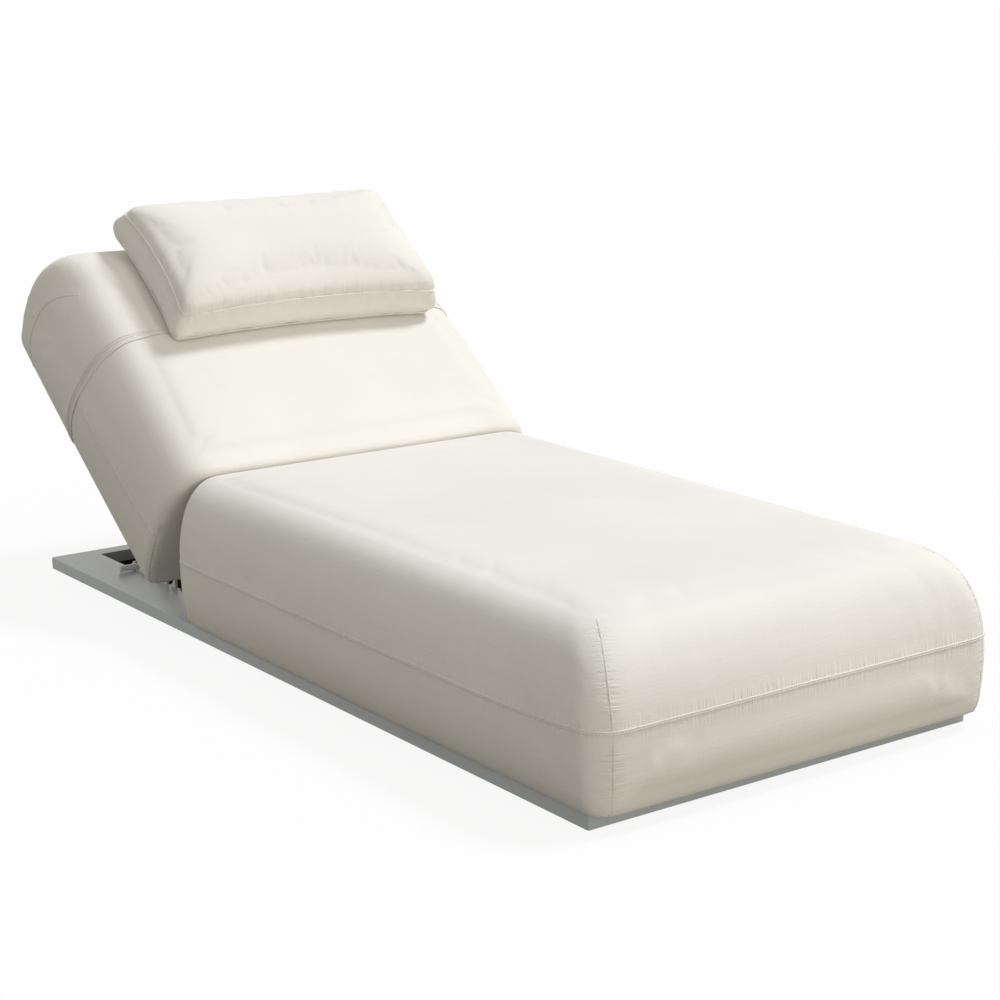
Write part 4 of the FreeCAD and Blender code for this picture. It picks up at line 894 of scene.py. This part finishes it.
back_skin = surface_of(backrest)
hood_shape = bmesh.new()
hood_shape.from_mesh(backrest.data)
back_shape = bmesh.new()
back_shape.from_mesh(backrest.data)
for vertex in back_shape.verts:
    under_hood = min(max((vertex.co.y - HEM) / SUNK_OVER, 0.0), 1.0)
    if vertex.co.z > UNDERSIDE:
        vertex.co -= vertex.normal * SUNK * under_hood
opened(back_shape)
back_shape.to_mesh(backrest.data)
back_shape.free()
left_side = range(QUARTER + CORNER_STEPS, LEFT_FOOT + 5)
right_side = [index % AROUND for index in range(RIGHT_FOOT + 4, AROUND + 1)]


def before_hem(points):
    """The part of a line on the foot side of the hood's hem."""
    return [point for point in points if point.y < HEM - 0.001]


back_lines = []
for side in (left_side, right_side):
    side_points = line_at(back_place, back_levels, side, lambda point: BACK_SEAM)
    back_lines.append(laid_on(before_hem(even_path(side_points)), back_skin))
back_corners = [
    rising_line(back_place, LEFT_FOOT + 4, LEFT_FOOT + 4, 0, 9, back_skin),
    rising_line(back_place, RIGHT_FOOT + 4, RIGHT_FOOT + 4, 0, 9, back_skin),
]
back_cover = woven("back_cover", *COVER, turn=REST_TILT)
back_seam_cloth = woven("back_seam_cloth", *SEAM_CLOTH, turn=REST_TILT, slub=0.5)
mark_gathers(backrest, [*back_lines, *back_corners], reach=0.04, depth=0.0008, step=0.02)
backrest.data.transform(RAISED)
sewn("back_side_seams", back_lines, 0.0030, 0.0011, SEAM_PROFILE, back_seam_cloth, "backrest", RAISED)
sewn("back_corner_seams", back_corners, 0.0020, 0.0008, LIP_PROFILE, back_cover, "backrest", RAISED)
stitched("back_seam_stitches", back_lines, 0.0017, 0.0010, "backrest", RAISED)
backrest.data.materials.append(back_cover)
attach(backrest, "backrest")
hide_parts("backrest_cushion")

# Hood: a fitted cap of the same cloth over the backrest's head end, with a narrow edge turned under it.
# A raised band and two folds that part down the sides finish its hem, and seams run up its head corners and
# across its head end.
HOOD_THICKNESS = 0.0028
HOOD_LIFT = 0.0012
HOOD_LOW = DECK_TOP + 0.0001
HOOD_OPEN_HALF = 0.437
HOOD_OPEN_HEAD = BACK_HEAD - 0.013
HEM_LINE = HEM + 0.0032
FOLD_FROM = 0.30
FOLD_OVER = 0.15
bmesh.ops.bisect_plane(
    hood_shape, geom=[*hood_shape.verts, *hood_shape.edges, *hood_shape.faces], dist=SAME_SPOT,
    plane_co=(0, HEM, 0), plane_no=(0, 1, 0), clear_inner=True,
)
left_open = []
for face in hood_shape.faces:
    x, y, z = face.calc_center_median()
    if z < UNDERSIDE and abs(x) < HOOD_OPEN_HALF and y < HOOD_OPEN_HEAD:
        left_open.append(face)
bmesh.ops.delete(hood_shape, geom=left_open, context="FACES")
hood_shape.normal_update()
for vertex in hood_shape.verts:
    vertex.co += vertex.normal * HOOD_LIFT
    vertex.co.z = max(vertex.co.z, HOOD_LOW)
hood_area = sum(face.calc_area() for face in hood_shape.faces)
hood = to_object(hood_shape, "backrest_hood_cap")
hood_skin = surface_of(hood)
thick = hood.modifiers.new("cloth", "SOLIDIFY")
thick.thickness = HOOD_THICKNESS
thick.offset = -1
applied(hood)
hood.data.shade_smooth()


def hem_path(spread_out):
    """A line beside the hem on the hood's surface, from one underside edge over the top to the other. It lies
    further along on the sides by spread_out and runs into the hem's own line on the top."""
    points = []
    for level in range(1, back_levels):
        low = back_place(level, QUARTER + CORNER_STEPS)
        if low.x < -0.02:
            aside = min(max((-low.x - FOLD_FROM) / FOLD_OVER, 0.0), 1.0)
            points.append(Vector((low.x, HEM_LINE + spread_out * aside * (2 - aside), low.z)))
    points += [Vector((-point.x, point.y, point.z)) for point in reversed(points)]
    return laid_on(even_path(points), hood_skin)


hood_corners = [
    rising_line(back_place, QUARTER + 9.2, QUARTER + 10.0, 1, 16, hood_skin),
    rising_line(back_place, AROUND - 1.2, AROUND - 2.0, 1, 16, hood_skin),
]
head_round = [index % AROUND for index in range(-1, QUARTER + CORNER_STEPS + 2)]
head_points = line_at(back_place, back_levels, head_round, lambda point: BACK_SEAM)
hood_lines = [*hood_corners, laid_on(even_path(head_points), hood_skin)]
hem_line = [hem_path(0.0)]
fold_lines = [hem_path(0.017), hem_path(0.0095)]
hood.data.transform(RAISED)
hood_hem = sewn("hood_hem", hem_line, 0.0042, 0.0014, SEAM_PROFILE, back_seam_cloth, "backrest", RAISED)
hood_folds = sewn("hood_folds", fold_lines, 0.0024, 0.0016, LIP_PROFILE, back_cover, "backrest", RAISED)
hood_seams = sewn("hood_seams", hood_lines, 0.0024, 0.0013, LIP_PROFILE, back_cover, "backrest", RAISED)
hood.data.materials.append(back_cover)
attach(hood, "backrest")
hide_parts("backrest_hood")

# Head pillow: loose fibre filling in a box cover of the same cloth, a side band between two narrow welts.
# It lies on the backrest, its upper panel crowned, its corners pinched and the band gathered on to the welts.
PILLOW_HALF = 0.341
PILLOW_HIGH = BACK_HEAD + 0.003
PILLOW_LOW = PILLOW_HIGH - 0.352
PILLOW_MIDDLE = 0.020
PILLOW_UNDER = 0.3602
PILLOW_CROWN = 0.049
CROWN_INSET = 0.1395
PILLOW_CORNER = 0.018
PILLOW_BOW = 0.009
CORNER_DROOP = 0.016
BAND_HEIGHT = 0.075
WELT_LOW = PILLOW_UNDER + 0.012
WELT_HIGH = WELT_LOW + BAND_HEIGHT
WELT_INSET_LOW = 0.002
WELT_INSET_HIGH = 0.008
WELT_STEP = 0.005
WELT_HOLD = 0.93
WELT_REACH = 0.010
pillow_rows = [
    (PILLOW_UNDER, 0.12), (PILLOW_UNDER, 0.067), (PILLOW_UNDER + 0.004, 0.03), (WELT_LOW, WELT_INSET_LOW),
]
LOWER_WELT = len(pillow_rows) - 1
for step in range(1, 6):
    share = step / 6
    bow = 0.010 * math.sin(share * math.pi)
    pillow_rows.append((WELT_LOW + BAND_HEIGHT * share, WELT_INSET_LOW + 0.006 * share - bow))
UPPER_WELT = len(pillow_rows)
pillow_rows.append((WELT_HIGH, WELT_INSET_HIGH))
for step in range(1, 10):
    turn = step / 9 * 0.93 * math.pi / 2
    inset = WELT_INSET_HIGH + CROWN_INSET * (1 - math.cos(turn))
    pillow_rows.append((WELT_HIGH + PILLOW_CROWN * math.sin(turn) ** 0.8, inset))


def pillow_place(level, index):
    """The pillow's form, ring by ring: under panel, lower welt, side band, upper welt and crowned panel."""
    height, inset = pillow_rows[level]
    radius = min(PILLOW_CORNER + inset * 0.35, 0.6 * (0.163 - inset))
    spot = ring_point(
        index, PILLOW_HALF - inset, PILLOW_LOW + inset, PILLOW_HIGH - inset, radius, radius, height,
        PILLOW_MIDDLE, PILLOW_BOW,
    )
    across = abs(spot.x - PILLOW_MIDDLE) / PILLOW_HALF
    along = abs(2 * spot.y - PILLOW_LOW - PILLOW_HIGH) / (PILLOW_HIGH - PILLOW_LOW)
    spot.z -= CORNER_DROOP * (across * along) ** 3 * min((height - PILLOW_UNDER) / 0.06, 1.0)
    return spot


pillow = to_object(drawn_form(AROUND, len(pillow_rows), pillow_place), "pillow_cushion")
pillow_drawn = surface_of(pillow)
remeshed(pillow, voxel=0.0062, smooth_steps=4)
WELT_LEVELS = (LOWER_WELT, UPPER_WELT)
welt_tree = KDTree(AROUND * 2)
for number, level in enumerate(WELT_LEVELS):
    for index in range(AROUND):
        welt_tree.insert(pillow_place(level, index), number * AROUND + index)
welt_tree.balance()


def pillow_held(point):
    """Held where it lies, and gathered in at the welts."""
    if point.z < PILLOW_UNDER + 0.003:
        return 1.0
    distance = welt_tree.find(point)[2]
    return WELT_HOLD * max(0.0, 1 - distance / WELT_REACH)


puffed(pillow, pillow_held, pressure=5.0, cap=0.016, slack=0.009)
rounded_up(pillow, pillow_drawn, lambda point: eased(point.z - PILLOW_UNDER, 0.002, 0.01))
pillow_skin = surface_of(pillow)
pillow_welts = []
for level in WELT_LEVELS:
    welt_points = [pillow_place(level, index % AROUND) for index in range(AROUND + 1)]
    pillow_welts.append(laid_on(even_path(welt_points, WELT_STEP), pillow_skin))
mark_gathers(pillow, pillow_welts, reach=0.045, depth=0.0020, step=0.022)
pillow.data.transform(RAISED)
pillow_cover = woven("pillow_cover", *COVER, turn=REST_TILT, slub=0.8)
pillow.data.materials.append(pillow_cover)
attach(pillow, "pillow")
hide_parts("head_pillow")
WELT_PROFILE = ((-1.0, -0.6), (-0.75, 0.25), (-0.5, 0.8), (0.0, 1.0), (0.5, 0.8), (0.75, 0.25), (1.0, -0.6))
sewn("pillow_welts", pillow_welts, 0.0016, 0.0020, WELT_PROFILE, pillow_cover, "pillow", RAISED)
